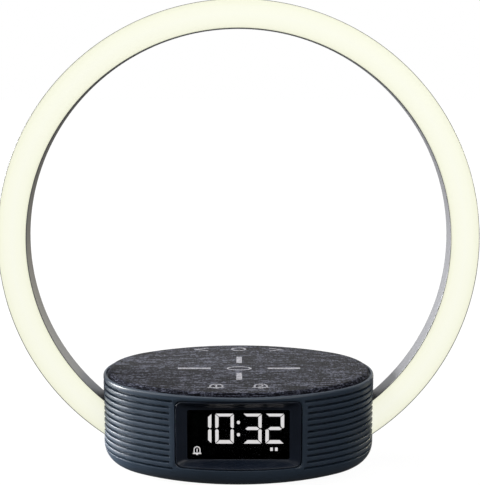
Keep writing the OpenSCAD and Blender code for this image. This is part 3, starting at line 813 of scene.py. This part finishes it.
@dataclass
class Drum:
    """The ribbed housing, and the base, feet and screws that need only a finish."""

    low: float = 1.5
    high: float = 44.2
    sole_w: float = 7.6
    sole_h: float = 8.9
    sole_end: float = 193.0
    rim_r: float = 1.0
    rim_w: float = 1.5
    ease: float = 0.3
    wall: float = 2.6
    seat: float = 42.8
    ledge: float = 1.8
    ledge_w: float = 3.0
    cover_in: float = 7.7
    cover_top: float = 4.2
    rows: int = 12
    pitch: float = 2.88
    first_row: float = 41.0
    mouth: float = 1.15
    mouths_from: float = 8.5
    depth: float = 2.3
    rounding: float = 0.12
    skin: float = 0.3
    near: float = 0.05
    sharp: float = 1.0
    panel: float = 31.5
    short_panel: float = 30.1
    rear_panel: float = 14.0
    slot_gap: float = 0.25
    socket_z: float = 20.0
    socket_in: float = 4.0
    socket_deep: float = 14.0
    socket_hole: float = 4.15

    def row_heights(self) -> List[float]:
        """Middle height of each groove, from the top."""
        return [self.first_row - k * self.pitch for k in range(self.rows)]

    def drawn_in(self, z: float) -> float:
        """How far the rounding of the sole draws the wall in at a height."""
        below = min(1.0, max(0.0, (self.low + self.sole_h - z) / self.sole_h))
        return self.sole_w * (1 - math.sqrt(1 - below**2))

    def section(self) -> List[Pair]:
        """Section of the wall, from the sole up its outside, over the rim and down to the ledges inside.

        Returns:
            (distance in, height) of the corners of the closed section.
        """
        half = self.mouth / 2
        heights = [z + side for z in reversed(self.row_heights()) for side in (-half, half)]
        rows = [(self.drawn_in(z), z) for z in heights]
        sole = arc((self.sole_w, self.low + self.sole_h), (self.sole_w, self.sole_h), 270, self.sole_end, 9)
        rim = arc((self.rim_r, self.high - self.rim_r), (self.rim_r, self.rim_r), 180, 90, 4)
        lift = self.cover_top + self.sole_w - self.wall
        shelf, under = self.wall + self.ledge_w, self.seat - self.ledge
        lip = self.rim_w
        top = [(lip - self.ease, self.high), (lip, self.high - self.ease), (lip, self.seat)]
        ledge = [(shelf, self.seat), (shelf, under), (self.wall, under), (self.wall, lift)]
        foot = [(self.sole_w, lift), (self.sole_w, self.cover_top), (self.cover_in, self.cover_top)]
        return sole + rows + rim + top + ledge + foot + [(self.cover_in, self.low)]

    def grooved(self, place: Vector) -> bool:
        """Whether a face belongs to the outer wall and is the mouth of a groove.

        Args:
            place: The middle of the face, in millimetres.

        Returns:
            Whether it does.
        """
        rows = self.row_heights()
        row = min(range(self.rows), key=lambda k: abs(rows[k] - place.z))
        if OVAL.inset_at(place.x, place.y) > self.skin or abs(rows[row] - place.z) > self.mouth / 2:
            return False
        limit = self.short_panel if row in (0, self.rows - 1) else self.panel
        return abs(place.x) > (limit if place.y < 0 else self.rear_panel)

    def on_mouth(self, edge: bmesh.types.BMEdge, origin: Vector) -> bool:
        """Whether an edge is the sharp border of a groove's mouth.

        Args:
            edge: The edge.
            origin: Origin of its mesh, in millimetres.

        Returns:
            Whether it is.
        """
        if len(edge.link_faces) != 2 or edge.calc_face_angle() < self.sharp:
            return False
        places = [v.co / MM + origin for v in edge.verts]
        low, high = self.mouths_from, self.high - self.rim_r
        return all(
            low < p.z < high and OVAL.inset_at(p.x, p.y) < self.drawn_in(p.z) + self.near for p in places
        )

    def cutters(self) -> List[Piece]:
        """The shapes of the display's opening, the ring's two slots and the mains socket's hole.

        Returns:
            The shapes, each an object of its own.
        """
        clear_selection()
        bpy.ops.mesh.primitive_cylinder_add(
            vertices=48, radius=self.socket_hole * MM, depth=self.socket_deep * MM,
            location=mm((0, OVAL.half_d - self.socket_in, self.socket_z)), rotation=(math.pi / 2, 0, 0),
        )
        socket = bpy.context.active_object
        return [DISPLAY.opening(), *(RING.slot(side, self.slot_gap) for side in Side), socket]

    def shell(self) -> None:
        """Builds the housing: a spun wall, sunk grooves with rounded mouths, and the openings."""
        columns = (self.short_panel, self.panel)
        obj = sweep_oval("drum_shell", self.section(), True, columns, (self.rear_panel,))
        origin = obj.location / MM
        with editing(obj, Part.FACE):
            count = pick(obj, Part.FACE, lambda face: self.grooved(face.calc_center_median() / MM + origin))
            sunk = {"value": -self.depth * MM, "use_even_offset": True}
            bpy.ops.mesh.extrude_region_shrink_fatten(TRANSFORM_OT_shrink_fatten=sunk)
            log.info("drum_shell: %d faces sunk as grooves", count)
        with editing(obj, Part.EDGE):
            count = pick(obj, Part.EDGE, lambda edge: self.on_mouth(edge, origin))
            bpy.ops.mesh.bevel(offset=self.rounding * MM, segments=3, affect="EDGES", clamp_overlap=True)
            log.info("drum_shell: %d mouth edges rounded", count)
        for cutter in self.cutters():
            apply_modifier(obj, "BOOLEAN", operation="DIFFERENCE", solver="EXACT", object=cutter)
            bpy.data.objects.remove(cutter, do_unlink=True)
        # satin ABS: wide soft highlights that slide along the ribs
        satin = Moulded("abs_satin_navy", "#1f2b38", 0.43, grain=0.3, bump=0.08, drift="#222f3d")
        complete(obj, satin, ["outer_housing"], angle=50)

    def build(self) -> None:
        """Builds and dresses the drum, its base, its feet and the clock's screws."""
        self.shell()
        # spark-eroded ABS: a dry, even black with no clear highlight
        cover = Moulded("abs_eroded_black", "#15161a", 0.62, grain=0.5, bump=0.25, drift="#191a1f")
        dress(cover, "bottom_cover", "battery_door")
        # rubber: almost no highlight
        dress(Moulded("rubber_matt_black", "#0e0e0f", 0.8, grain=0.6, bump=0.2), "rubber_feet")
        # zinc plating: small bright reflections
        dress(
            Metal("zinc_plated_steel", "#a9adb3", 0.32, grain=0.4, bump=0.05, drift="#c2c4c8"),
            "case_screws", "top_screws", "charging_screws", "display_screws", "board_screws",
            "speaker_screws", "battery_door_screw", "socket_screws",
        )


# ---------- light ring ----------


@dataclass
class LightRing:
    """The C-shaped metal channel with its opal strip, and the light sources and sockets."""

    outer: float = 113.2
    band: float = 13.7
    deep: float = 13.7
    wall: float = 1.2
    lip: float = 0.4
    outer_lip: float = 0.15
    ease: float = 0.12
    back_r: float = 1.5
    opal: float = 2.4
    opal_edge: float = 0.5
    opal_crown: float = 0.18
    opal_parts: int = 8
    opal_gaps: Pair = (0.25, 0.05)
    centre_z: float = 107.49
    gap: float = 30.015
    steps: int = 180
    slot_end: float = 70.0
    slot_steps: int = 40

    @property
    def inner(self) -> float:
        """Inner radius of the ring."""
        return self.outer - self.band

    @property
    def middle(self) -> float:
        """Radius of the ring's middle line."""
        return self.outer - self.band / 2

    def spun(self, name: str, section: Sequence[Pair], start: float, degrees: float, steps: int) -> Piece:
        """Sweeps a closed section about the ring's axis and fills its two ends.

        Args:
            name: Name of the new object.
            section: (radius, depth) of the section's corners.
            start: Angle of the start, in degrees from straight down to the right.
            degrees: Angle of the sweep, on the left for a negative one.
            steps: Number of steps.

        Returns:
            The swept object.
        """
        turn = math.radians(start)
        across, down = math.sin(turn), math.cos(turn)
        obj = draw_line(name, [(r * across, y, self.centre_z - r * down) for r, y in section])
        with editing(obj):
            spin((0, 0, self.centre_z), (0, -1 if degrees > 0 else 1, 0), abs(degrees), steps)
            close_up()
            pick(obj, Part.EDGE, is_open)
            bpy.ops.mesh.edge_face_add()
            close_up()
        return obj

    def slot(self, side: Side, clear: float) -> Piece:
        """The ring's outline near one of its ends, grown by a clearance.

        Args:
            side: Which end.
            clear: The clearance.

        Returns:
            The shape that cuts the slot.
        """
        half, low, high = self.deep / 2 + clear, self.inner - clear, self.outer + clear
        section = [(low, -half), (high, -half), (high, half), (low, half)]
        start, degrees = side.value * self.gap, side.value * (self.slot_end - self.gap)
        return self.spun(f"{side.name.lower()}_slot", section, start, degrees, self.slot_steps)

    def channel(self) -> None:
        """Builds the channel, with its lips eased by a small chamfer."""
        half, turn = self.deep / 2, (self.back_r, self.back_r)
        inside, seat, corner = half - self.wall, self.opal - half, half - self.back_r
        low, high, lip, outer_lip = self.inner, self.outer, self.inner + self.lip, self.outer - self.outer_lip
        left = arc((low + self.back_r, corner), turn, 180, 90, 6)
        right = arc((high - self.back_r, corner), turn, 90, 0, 6)
        front = [(high, self.ease - half), (high - self.ease / 2, -half), (outer_lip, -half)]
        hollow = [(outer_lip, seat), (high - self.wall, seat), (high - self.wall, inside)]
        rest = [(low + self.wall, inside), (low + self.wall, seat), (lip, seat), (lip, -half)]
        end = (low + self.ease, -half)
        section = [(low, self.ease - half), *left, *right, *front, *hollow, *rest, end]
        obj = self.spun("ring_band", section, self.gap, 360 - 2 * self.gap, self.steps)
        # blasted and anodised aluminium: an even grey whose edges catch soft light
        metal = Metal("anodised_aluminium", "#6f7073", 0.45, grain=0.4, bump=0.12, drift="#808083")
        complete(obj, metal, ["ring_channel"])

    def strip(self) -> None:
        """Builds the opal strip, crowned slightly and rounded along both edges."""
        half, edge, turn = self.deep / 2, self.opal_edge, (self.opal_edge, self.opal_edge)
        low = self.inner + self.lip + self.opal_gaps[0]
        high = self.outer - self.outer_lip - self.opal_gaps[1]
        seat, level, width = self.opal - half, edge + self.opal_crown - half, high - low - 2 * edge
        shares = [i / self.opal_parts for i in range(1, self.opal_parts)]
        dips = [(share, self.opal_crown * (1 - math.sin(math.pi * share))) for share in shares]
        section = [
            (low, seat),
            *arc((low + edge, level), turn, 180, 270, 4),
            *((low + edge + width * share, dip - half) for share, dip in dips),
            *arc((high - edge, level), turn, 270, 360, 4),
            (high, seat),
        ]
        obj = self.spun("ring_light", section, self.gap, 360 - 2 * self.gap, self.steps)
        # opal polycarbonate: the single light sources blur to one warm white band
        place = {"centre_z": self.centre_z, "middle_r": self.middle}
        opal = Opal("opal_polycarbonate", "#8c8c84", 0.45, specular=0.2, strength=0.835, **place)
        complete(obj, opal, ["ring_diffuser"], angle=60)

    def build(self) -> None:
        """Builds and dresses the light ring."""
        self.channel()
        self.strip()
        # polyimide film: plain off-white
        dress(Moulded("polyimide_white", "#dcdcd4", 0.5, grain=0.8), "led_strip")
        # phosphor over light sources: a yellow that glows
        dress(Lit("phosphor_yellow", "#e6d27a", 0.4, glow="#fff2b0", strength=0.6), "ring_leds")
        # glass-filled nylon: a dull black
        socket = Moulded("nylon_black", "#1a1a1d", 0.6, grain=0.6, bump=0.25, drift="#1f1f22")
        dress(socket, "ring_socket_left", "ring_socket_right")


# ---------- top ----------


@dataclass
class Pad:
    """The fabric top with its printed key marks, and what lies under it.

    The marks are drawn above the cloth and laid down on it. A bar is given by its spans in X and Y, an oval
    by its centre and half widths, and an arrow head by the X of its tip, the X of its back and its span in Y.
    """

    edge: float = 2.2
    roll: float = 1.4
    rim: float = 44.2
    foot: float = 42.9
    crown: float = 1.6
    border: float = 0.8
    cloth: float = 0.6
    above: float = 2.0
    lift: float = 0.05
    ink: float = 0.04
    pen: float = 0.9
    fine_pen: float = 0.8
    bars: Tuple[Tuple[Pair, Pair], ...] = (
        ((-1.0, 1.7), (8.2, 20.2)),
        ((-1.0, 1.7), (-22.0, -10.0)),
        ((-29.1, -13.4), (-2.9, -0.5)),
        ((14.1, 29.7), (-2.9, -0.5)),
    )
    ovals: Tuple[Tuple[Pair, Pair], ...] = (((0.1, 35.4), (3.4, 2.8)), ((0.3, -1.8), (5.6, 2.9)))
    heads: Tuple[Tuple[float, float, Pair], ...] = ((-22.2, -15.4, (32.2, 37.6)), (22.5, 15.7, (31.8, 37.2)))
    bells: Tuple[Pair, Pair] = ((-10.1, -32.4), (10.2, -32.4))

    @property
    def top(self) -> float:
        """Height of the flat top."""
        return self.rim + self.crown

    def fabric(self) -> Piece:
        """Builds the stretched fabric: a spun roll, the flat filled, and the cloth's thickness.

        Returns:
            The piece that stands for fabric_cover.
        """
        roll = arc((self.edge + self.roll, self.rim), (self.roll, self.crown), 180, 90, 8)
        obj = sweep_oval("pad_fabric", [(self.edge, self.foot), *roll], False)
        with editing(obj, Part.EDGE):
            flat = (self.top - 0.01) * MM - obj.location.z
            pick(obj, Part.EDGE, lambda e: is_open(e) and all(v.co.z > flat for v in e.verts))
            bpy.ops.mesh.edge_face_add()
            bpy.ops.mesh.inset(thickness=self.border * MM)
            close_up()
        apply_modifier(obj, "SOLIDIFY", thickness=self.cloth * MM, offset=-1.0)
        # melange of dyed and raw yarns: fine light streaks on near-black, with no highlight
        melange = Melange("polyester_melange", "#55555c", 0.95, specular=0.03)
        piece = complete(obj, melange, ["fabric_cover"], angle=40)
        return piece

    def bar(self, x: Pair, y: Pair) -> Piece:
        """A printed bar, cut into short parts so that it can follow the cloth.

        Args:
            x: Its left and right end.
            y: Its front and rear end.

        Returns:
            The bar, still above the cloth.
        """
        clear_selection()
        middle = (sum(x) / 2, sum(y) / 2, self.top + self.above)
        bpy.ops.mesh.primitive_plane_add(size=MM, location=mm(middle))
        obj = bpy.context.active_object
        obj.scale = (x[1] - x[0], y[1] - y[0], 1)
        bpy.ops.object.transform_apply(location=True, rotation=True, scale=True)
        with editing(obj):
            bpy.ops.mesh.subdivide(number_cuts=5)
        return obj

    def stroke(self, points: Sequence[Pair], width: float, closed: bool = False) -> Piece:
        """A printed line of even width.

        Args:
            points: Points along its middle.
            width: Its width.
            closed: Whether its end joins its start.

        Returns:
            The line, still above the cloth.
        """
        middle = [Vector((x, y, self.top + self.above)) for x, y in points]
        before = [middle[-1 if closed else 0], *middle]
        after = [*middle[1:], middle[0 if closed else -1]]
        ways = [(end - start).normalized() for start, end in zip(before, after)]
        aside = [Vector((-way.y, way.x, 0.0)) * width / 2 for way in ways]
        sides = [[place + side * half for place, half in zip(middle, aside)] for side in (1, -1)]
        obj = join("stroke", [draw_line("stroke", side, closed) for side in sides])
        with editing(obj, Part.EDGE):
            bpy.ops.mesh.bridge_edge_loops()
        return obj

    def head(self, tip: float, back: float, y: Pair, parts: int = 8) -> Piece:
        """A printed arrow head.

        Args:
            tip: Place of its tip from left to right.
            back: Place of its two ends from left to right.
            y: Places of its two ends from front to rear.
            parts: Parts of each half of it.

        Returns:
            The arrow head, still above the cloth.
        """
        corners = [(back, y[0]), (tip, sum(y) / 2), (back, y[1])]
        path = corners[:1]
        for start, end in zip(corners, corners[1:]):
            path += [between(start, end, i / parts) for i in range(1, parts + 1)]
        return self.stroke(path, self.pen)

    def bell(self, place: Pair, number: Sequence[Pair], width: float) -> List[Piece]:
        """A printed bell outline with a number in it.

        Args:
            place: Its middle.
            number: Points of the number's line, about the bell's middle.
            width: Width of that line.

        Returns:
            Its three lines, still above the cloth.
        """
        dome = arc((0, 0), (2.8, 2.9), 0, 180, 14)
        body = [(4.0, -2.7), (2.8, -1.6), *dome, (-2.8, -1.6), (-4.0, -2.7)]
        clapper = arc((0, -2.9), (1.2, 0.9), 200, 340, 6)
        lines = [(body, self.pen, True), (clapper, self.fine_pen, False), (number, width, False)]
        return [self.stroke([(place[0] + x, place[1] + y) for x, y in line], *look) for line, *look in lines]

    def marks(self, cloth: Piece) -> None:
        """Prints the key marks as one piece.

        Args:
            cloth: The fabric that they lie on.
        """
        one = [(-0.9, 0.9), (0.0, 1.6), (0.0, -1.8)]
        two = [*arc((0, 0.6), (1.0, 0.9), 170, -30, 6), (-1.0, -1.5), (1.1, -1.5)]
        parts = [self.bar(*spans) for spans in self.bars]
        parts += [self.stroke(arc(*oval, 0, 350, 35), self.pen, closed=True) for oval in self.ovals]
        parts += [self.head(*places) for places in self.heads]
        parts += self.bell(self.bells[0], one, self.fine_pen) + self.bell(self.bells[1], two, 0.7)
        obj = join("printed_marks", parts)
        apply_modifier(
            obj, "SHRINKWRAP", target=cloth, wrap_method="PROJECT", use_project_z=True,
            use_negative_direction=True, use_positive_direction=False, offset=self.lift * MM,
        )
        with editing(obj):
            close_up()
        apply_modifier(obj, "SOLIDIFY", thickness=self.ink * MM, offset=-1.0)
        # screen ink: flat light grey, broken up by the yarns
        complete(obj, Ink("screen_ink_grey", "#9a9aa0", 0.7, specular=0.2))

    def build(self) -> None:
        """Builds and dresses the pad and what lies under it."""
        self.marks(self.fabric())
        # PC-ABS: plain satin black
        dress(Moulded("pc_abs_black", "#202126", 0.55, grain=0.6, bump=0.2), "top_plate")
        # enamelled wire: bright rings with painted shade in the lines between them
        dress(Wound("enamelled_copper", "#b8683a", 0.35), "charging_coil")
        # bare copper: soft reddish reflections
        dress(Metal("copper_plain", "#b87248", 0.4, drift="#c98457"), "touch_electrodes")
        # sintered ferrite: a rough dark grey
        dress(Moulded("ferrite_ceramic", "#2a2a2c", 0.6, grain=0.3, bump=0.3), "coil_ferrite")


# ---------- display ----------


@dataclass
class Display:
    """The dished bezel, the window and the strokes behind it.

    The profile holds (distance in from the opening, depth below the drum's face) across the bezel's lip.
    The strokes hold (old, new) distances from the middle of a digit, across and up.
    """

    width: float = 57.8
    height: float = 32.3
    corner: float = 3.0
    middle_z: float = 26.25
    droop: float = 1.0
    flare: float = 1.25
    ahead: float = 4.0
    ease: float = 0.25
    profile: Tuple[Pair, ...] = ((0.35, 0.3), (0.43, 0.1), (0.6, 0.02), (0.7, 0.02), (0.85, 0.12))
    dish_steps: int = 10
    hollow: float = 1.15
    view_w: float = 46.6
    view_h: float = 23.3
    view_z: float = 25.15
    view_y: float = -40.3
    view_corner: float = 1.0
    back_y: float = -33.0
    pocket_w: float = 49.8
    pocket_h: float = 25.0
    pocket_in: float = 0.05
    pane_w: float = 49.4
    pane_h: float = 24.6
    pane_ease: float = 0.2
    pane_back: float = -38.9
    digits_z: float = 27.5
    digits_x: Tuple[float, ...] = (-16.6, -6.35, 6.35, 16.6)
    strokes_x: Tuple[Pair, ...] = ((0.0, 0.0), (2.35, 2.76), (4.25, 4.2))
    strokes_z: Tuple[Pair, ...] = ((0.0, 0.0), (0.8, 0.6), (5.45, 5.8), (7.05, 7.02))
    digit_reach: float = 7.25
    dark_rim: float = 0.1
    front: float = -38.83
    colon_zone: float = 1.2
    dot_z: float = 2.9
    dot_scale: float = 0.88

    def sunk(self, x: float, z: float) -> float:
        """Height of a place on the outline: its upper edge comes down a little towards both ends."""
        high = max(0.0, 2 * z / self.height)
        return self.middle_z + z - self.droop * high * (2 * x / self.width) ** 2

    def loop(self, shrink: float, inset: float) -> List[Point]:
        """The bezel's outline drawn in by shrink, on the drum's face drawn in by inset."""
        outline = rounded_outline(self.width - 2 * shrink, self.height - 2 * shrink, self.corner - shrink / 2)
        return [(x, OVAL.front_y(x, inset), self.sunk(x, z)) for x, z in outline]

    def flat_loop(self, width: float, height: float, corner: float, z: float, y: float) -> List[Point]:
        """A rounded outline in an upright plane."""
        return [(x, y, z + up) for x, up in rounded_outline(width, height, corner)]

    def opening(self) -> Piece:
        """The housing's opening for the bezel, with an eased edge.

        Returns:
            The shape that cuts the opening.
        """
        wide, high = self.width + 2 * self.flare, self.height + 2 * self.flare
        front = self.flat_loop(wide, high, self.corner, self.middle_z, -OVAL.half_d - self.ahead)
        eased = [self.loop(-self.flare, -1.0), self.loop(-self.ease, 0.0), self.loop(0.0, self.ease)]
        full = [(x, self.back_y, z) for x, _, z in self.loop(0.0, 0.0)]
        return loft("bezel_opening", [front, *eased, full])

    def dish(self) -> List[List[Point]]:
        """Loops of the dish from the lip in to the window, hollowed towards the window.

        Returns:
            The loops.
        """
        outer = self.loop(*self.profile[-1])
        inner = self.flat_loop(self.view_w, self.view_h, self.view_corner, self.view_z, self.view_y)
        loops = []
        for share in (i / self.dish_steps for i in range(self.dish_steps + 1)):
            deep = math.sin(share * math.pi / 2) ** self.hollow
            places = [(between(a, b, share), between(a, b, deep)) for a, b in zip(outer, inner)]
            loops.append([(even[0], sunk[1], even[2]) for even, sunk in places])
        return loops

    def bezel(self) -> None:
        """Builds the bezel: lip, dish, window pocket and back as one closed ring."""
        lip = [self.loop(*place) for place in self.profile[:-1]]
        pocket = (self.pocket_w, self.pocket_h, self.view_corner, self.view_z)
        loops = [
            [(x, self.back_y, z) for x, _, z in lip[0]],
            *lip,
            *self.dish(),
            self.flat_loop(*pocket, self.view_y + self.pocket_in),
            self.flat_loop(*pocket, self.back_y),
        ]
        obj = loft("bezel_dish", loops, ring=True)
        # satin ABS with a shallower grain: a dark frame with a faint sheen in its hollow
        satin = Moulded("abs_satin_bezel", "#0e141e", 0.38, 1.46, 0.25, grain=0.3, bump=0.04, drift="#141b27")
        complete(obj, satin, ["display_bezel"], angle=50)

    def pane(self) -> None:
        """Builds the window: a pane with eased edges, a hair in front of the digits' block."""
        ease, front = self.pane_ease, self.view_y + self.pocket_in
        small = (self.pane_w - 2 * ease, self.pane_h - 2 * ease, self.view_corner - ease, self.view_z)
        full = (self.pane_w, self.pane_h, self.view_corner, self.view_z)
        places = [(*small, front), (*full, front + ease), (*full, self.pane_back)]
        obj = loft("window_pane", [self.flat_loop(*place) for place in places])
        # smoked acrylic: black glass until a stroke lights up behind it
        smoked = Smoked("pmma_smoked", "#8c8c92", 0.02, ior=1.06)
        complete(obj, smoked, ["display_window"], angle=40)

    @staticmethod
    def slimmed(away: float, stops: Sequence[Pair]) -> float:
        """Moves a distance from the middle of a digit.

        Args:
            away: The distance, with its sign.
            stops: (old, new) distances. Between two of them the move changes evenly.

        Returns:
            The new distance.
        """
        for low, high in zip(stops, stops[1:]):
            if abs(away) <= high[0] + 0.01:
                share = (abs(away) - low[0]) / (high[0] - low[0])
                return math.copysign(between(low, high, share)[1], away)
        return away

    def moved(self, corner: Vector) -> Point:
        """Moves a corner of a stroke, so that the stroke is slimmer and stands clear of its well's face.

        Args:
            corner: The corner, in millimetres.

        Returns:
            Its new place.
        """
        x, y, z = corner.x, corner.y, corner.z - self.digits_z
        if abs(x) < self.colon_zone:
            dot = math.copysign(self.dot_z, z)
            x, z = x * self.dot_scale, dot + (z - dot) * self.dot_scale
        elif abs(z) < self.digit_reach:
            middle = min(self.digits_x, key=lambda place: abs(x - place))
            x, z = middle + self.slimmed(x - middle, self.strokes_x), self.slimmed(z, self.strokes_z)
        return x, self.front if y < self.front + 1 else y, z + self.digits_z

    def strokes(self) -> None:
        """Builds the lit strokes: the solids' own, slimmed by the rim of each well, which stays dark."""
        activate(frame["nodes"]["segments_lit"])
        bpy.ops.object.duplicate()
        obj = named(bpy.context.active_object, "lit_strokes")
        del obj["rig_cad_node"]
        with editing(obj):
            close_up()
            pick(obj, Part.VERT, lambda v: abs(v.co.z / MM - self.digits_z) < self.digit_reach)
            bpy.ops.transform.shrink_fatten(value=-self.dark_rim * MM, use_even_offset=True)
            mesh = bmesh.from_edit_mesh(obj.data)
            for corner in mesh.verts:
                corner.co = mm(self.moved(corner.co / MM))
            bmesh.update_edit_mesh(obj.data)
        # diffusing resin with light behind it: even, slightly warm white
        resin = Lit("resin_lit_white", "#202022", 0.5, glow="#eeebdf", strength=3.1)
        complete(obj, resin, ["segments_lit"], angle=30)

    def build(self) -> None:
        """Builds and dresses the display."""
        self.bezel()
        self.pane()
        self.strokes()
        # matt black polycarbonate: swallows light between the strokes
        dress(Moulded("pc_black_matt", "#020202", 0.7, specular=0.05, grain=0.5), "display_reflector")
        # the same resin without light: all but black behind the window
        dress(Moulded("resin_unlit_grey", "#030304", 0.6, specular=0.05, grain=0.4), "segments_unlit")


# ---------- inside ----------


@dataclass
class Inside:
    """The boards, the speaker, the cell and the wiring, which need only a finish."""

    cable_grain: float = 0.8
    moulded_grain: float = 0.5

    def build(self) -> None:
        """Dresses all of them."""
        cable, moulded = self.cable_grain, self.moulded_grain
        # solder mask on glass epoxy: glossy green with paler tracks
        board = Board("fr4_green_mask", "#14472a", 0.35)
        dress(board, "main_board", "display_board", "touch_board", "charging_board")
        # epoxy packages: smooth black with a low sheen
        part = Moulded("epoxy_black", "#1c1c1e", 0.45, grain=moulded, bump=0.2, drift="#242427")
        dress(part, "board_components", "power_socket")
        # gold plating: bright warm contacts
        dress(Metal("gold_plated_brass", "#c9a04a", 0.3, drift="#dab560"), "power_pin", "cell_contact")
        # soft PVC: satin insulation in two colours
        dress(Moulded("pvc_red", "#8e1f1a", 0.45, grain=cable), "speaker_leads", "coil_leads")
        dress(Moulded("pvc_white", "#c9c9c2", 0.45, grain=cable), "ring_leads")
        # polyester film cable: smooth straw yellow
        ribbon = Moulded("polyester_ribbon", "#b99a58", 0.4, grain=moulded, drift="#a5874a")
        dress(ribbon, "display_ribbon", "touch_ribbon")
        # painted steel: an even satin black
        dress(Moulded("pressed_frame_black", "#26272a", 0.5, grain=moulded), "speaker_frame")
        # nickel plating: clear cool reflections
        dress(Metal("nickel_plated_steel", "#8e8e92", 0.35, drift="#a6a6aa"), "speaker_magnet", "coin_cell")
        # pressed paper pulp: fibrous and quite matt
        pulp = Moulded("pulp_paper_black", "#1d1d1e", 0.85, grain=0.9, bump=0.5, drift="#262627")
        dress(pulp, "speaker_cone")


# ---------- studio ----------


@dataclass(frozen=True)
class Lamp:
    """A soft square lamp: its place, the point that it faces, the length of its sides, and its watts."""

    name: str
    place: Point
    aim: Point
    size: float
    power: float
    colour: str = "#ffffff"

    def add(self) -> None:
        """Adds the lamp to the scene."""
        clear_selection()
        bpy.ops.object.light_add(type="AREA", location=mm(self.place))
        lamp = bpy.context.active_object
        lamp.name = self.name
        lamp.data.size = self.size * MM
        lamp.data.energy = self.power
        lamp.data.color = linear(self.colour)[:3]
        lamp.rotation_euler = (mm(self.aim) - mm(self.place)).to_track_quat("-Z", "Y").to_euler()


@dataclass
class Studio:
    """Floor, lamps, world and camera."""

    camera_y: float = -605.05
    camera_z: float = 209.17
    pitch: float = 9.59
    lens: float = 95.94
    shift: float = 0.0032
    ambient: float = 0.3
    room: float = 0.15
    horizon: float = 0.3
    floor_size: float = 6000.0
    floor_colour: str = "#404040"
    floor_gloss: float = 0.08
    floor_glow: float = 0.96
    fade: Pair = (300.0, 900.0)
    lamps: Tuple[Lamp, ...] = (
        Lamp("key_left", (-1100, -350, 900), (0, 0, 60), 700, 10),
        Lamp("edge_left", (-850, 270, 60), (-60, 0, 30), 500, 64),
        Lamp("front_right", (450, -900, 650), (0, 0, 20), 700, 6.5),
        Lamp("edge_right", (700, 520, 160), (60, 0, 40), 250, 5, "#fff6d8"),
        Lamp("top_soft", (0, 100, 1300), (0, 0, 40), 900, 7),
    )

    def matt_white(self) -> Material:
        """Builds the floor's matt white. Camera, glossy and transmission rays meet it as background white.

        Returns:
            The material, which also shows the object's shadow.
        """
        material = bpy.data.materials.new("matt_white_floor")
        material.use_nodes = True
        nodes, add = material.node_tree.nodes, partial(add_node, material)
        nodes.remove(nodes["Principled BSDF"])
        ray = add("LightPath").outputs
        either = {"operation": "MAXIMUM", 0: ray["Is Camera Ray"], 1: ray["Is Transmission Ray"]}
        direct = add("Math", either)
        weaker = {"operation": "MULTIPLY", 0: ray["Is Glossy Ray"], 1: self.floor_gloss}
        gloss = add("Math", weaker)
        shown = add("Math", {"operation": "MAXIMUM", 0: direct, 1: gloss})
        place = add("TexCoord").outputs["Object"]
        away = add("VectorMath", {"operation": "LENGTH", 0: place}).outputs["Value"]
        ends = {"From Min": self.fade[0] * MM, "From Max": self.fade[1] * MM, "To Min": self.floor_glow}
        even = add("MapRange", {"Value": away, **ends})
        strength = add("Math", {"operation": "MULTIPLY", 0: shown, 1: even})
        matt = add("BsdfDiffuse", {"Color": linear(self.floor_colour)})
        light = add("Emission", {"Strength": strength})
        add("AddShader", {0: matt, 1: light}, nodes["Material Output"].inputs["Surface"])
        return material

    def world(self) -> None:
        """Sets a soft pale world: white behind the object, and a dimmer room in front of it to reflect."""
        world = bpy.data.worlds.new("soft_studio")
        bpy.context.scene.world = world
        world.use_nodes = True
        world.node_tree.nodes.clear()
        add = partial(add_node, world)
        out = add("OutputWorld")
        ray = add("LightPath").outputs
        either = {"operation": "MAXIMUM", 0: ray["Is Camera Ray"], 1: ray["Is Transmission Ray"]}
        direct = add("Math", either)
        way = add("SeparateXYZ", {"Vector": add("TexCoord").outputs["Generated"]})
        ends = {"From Min": -self.horizon, "From Max": self.horizon, "To Min": self.room}
        room = add("MapRange", {"Value": way.outputs["Y"], **ends})
        glossy = {"Value": ray["Is Glossy Ray"], "To Min": self.ambient, "To Max": room}
        rest = add("MapRange", glossy)
        strength = add("Math", {"operation": "MAXIMUM", 0: direct, 1: rest})
        white = {"Color": linear("#ffffff"), "Strength": strength}
        add("Background", white, out.inputs["Surface"])

    def floor(self) -> None:
        """Adds the floor under the object."""
        clear_selection()
        bpy.ops.mesh.primitive_plane_add(size=self.floor_size * MM, location=(0, 0, 0))
        floor = bpy.context.active_object
        floor.name = "floor"
        floor.data.materials.append(self.matt_white())

    def camera(self) -> None:
        """Sets the camera in front of the clock and a little above it."""
        clear_selection()
        place = mm((0, self.camera_y, self.camera_z))
        bpy.ops.object.camera_add(location=place, rotation=(math.radians(90 - self.pitch), 0, 0))
        camera = bpy.context.active_object
        camera.data.lens = self.lens
        camera.data.shift_x = self.shift
        bpy.context.scene.camera = camera

    def build(self) -> None:
        """Sets the whole studio."""
        self.camera()
        self.world()
        self.floor()
        for lamp in self.lamps:
            lamp.add()


RING = LightRing()
DISPLAY = Display()


def main() -> None:
    """Builds the studio and the clock, part by part."""
    logging.basicConfig(level=logging.INFO, format="%(message)s")
    for assembly in (Studio(), Drum(), RING, Pad(), DISPLAY, Inside()):
        log.info("-- %s", type(assembly).__name__)
        assembly.build()
    bpy.context.scene.view_settings.view_transform = "Standard"
    clear_selection()


if __name__ == "__main__":
    main()
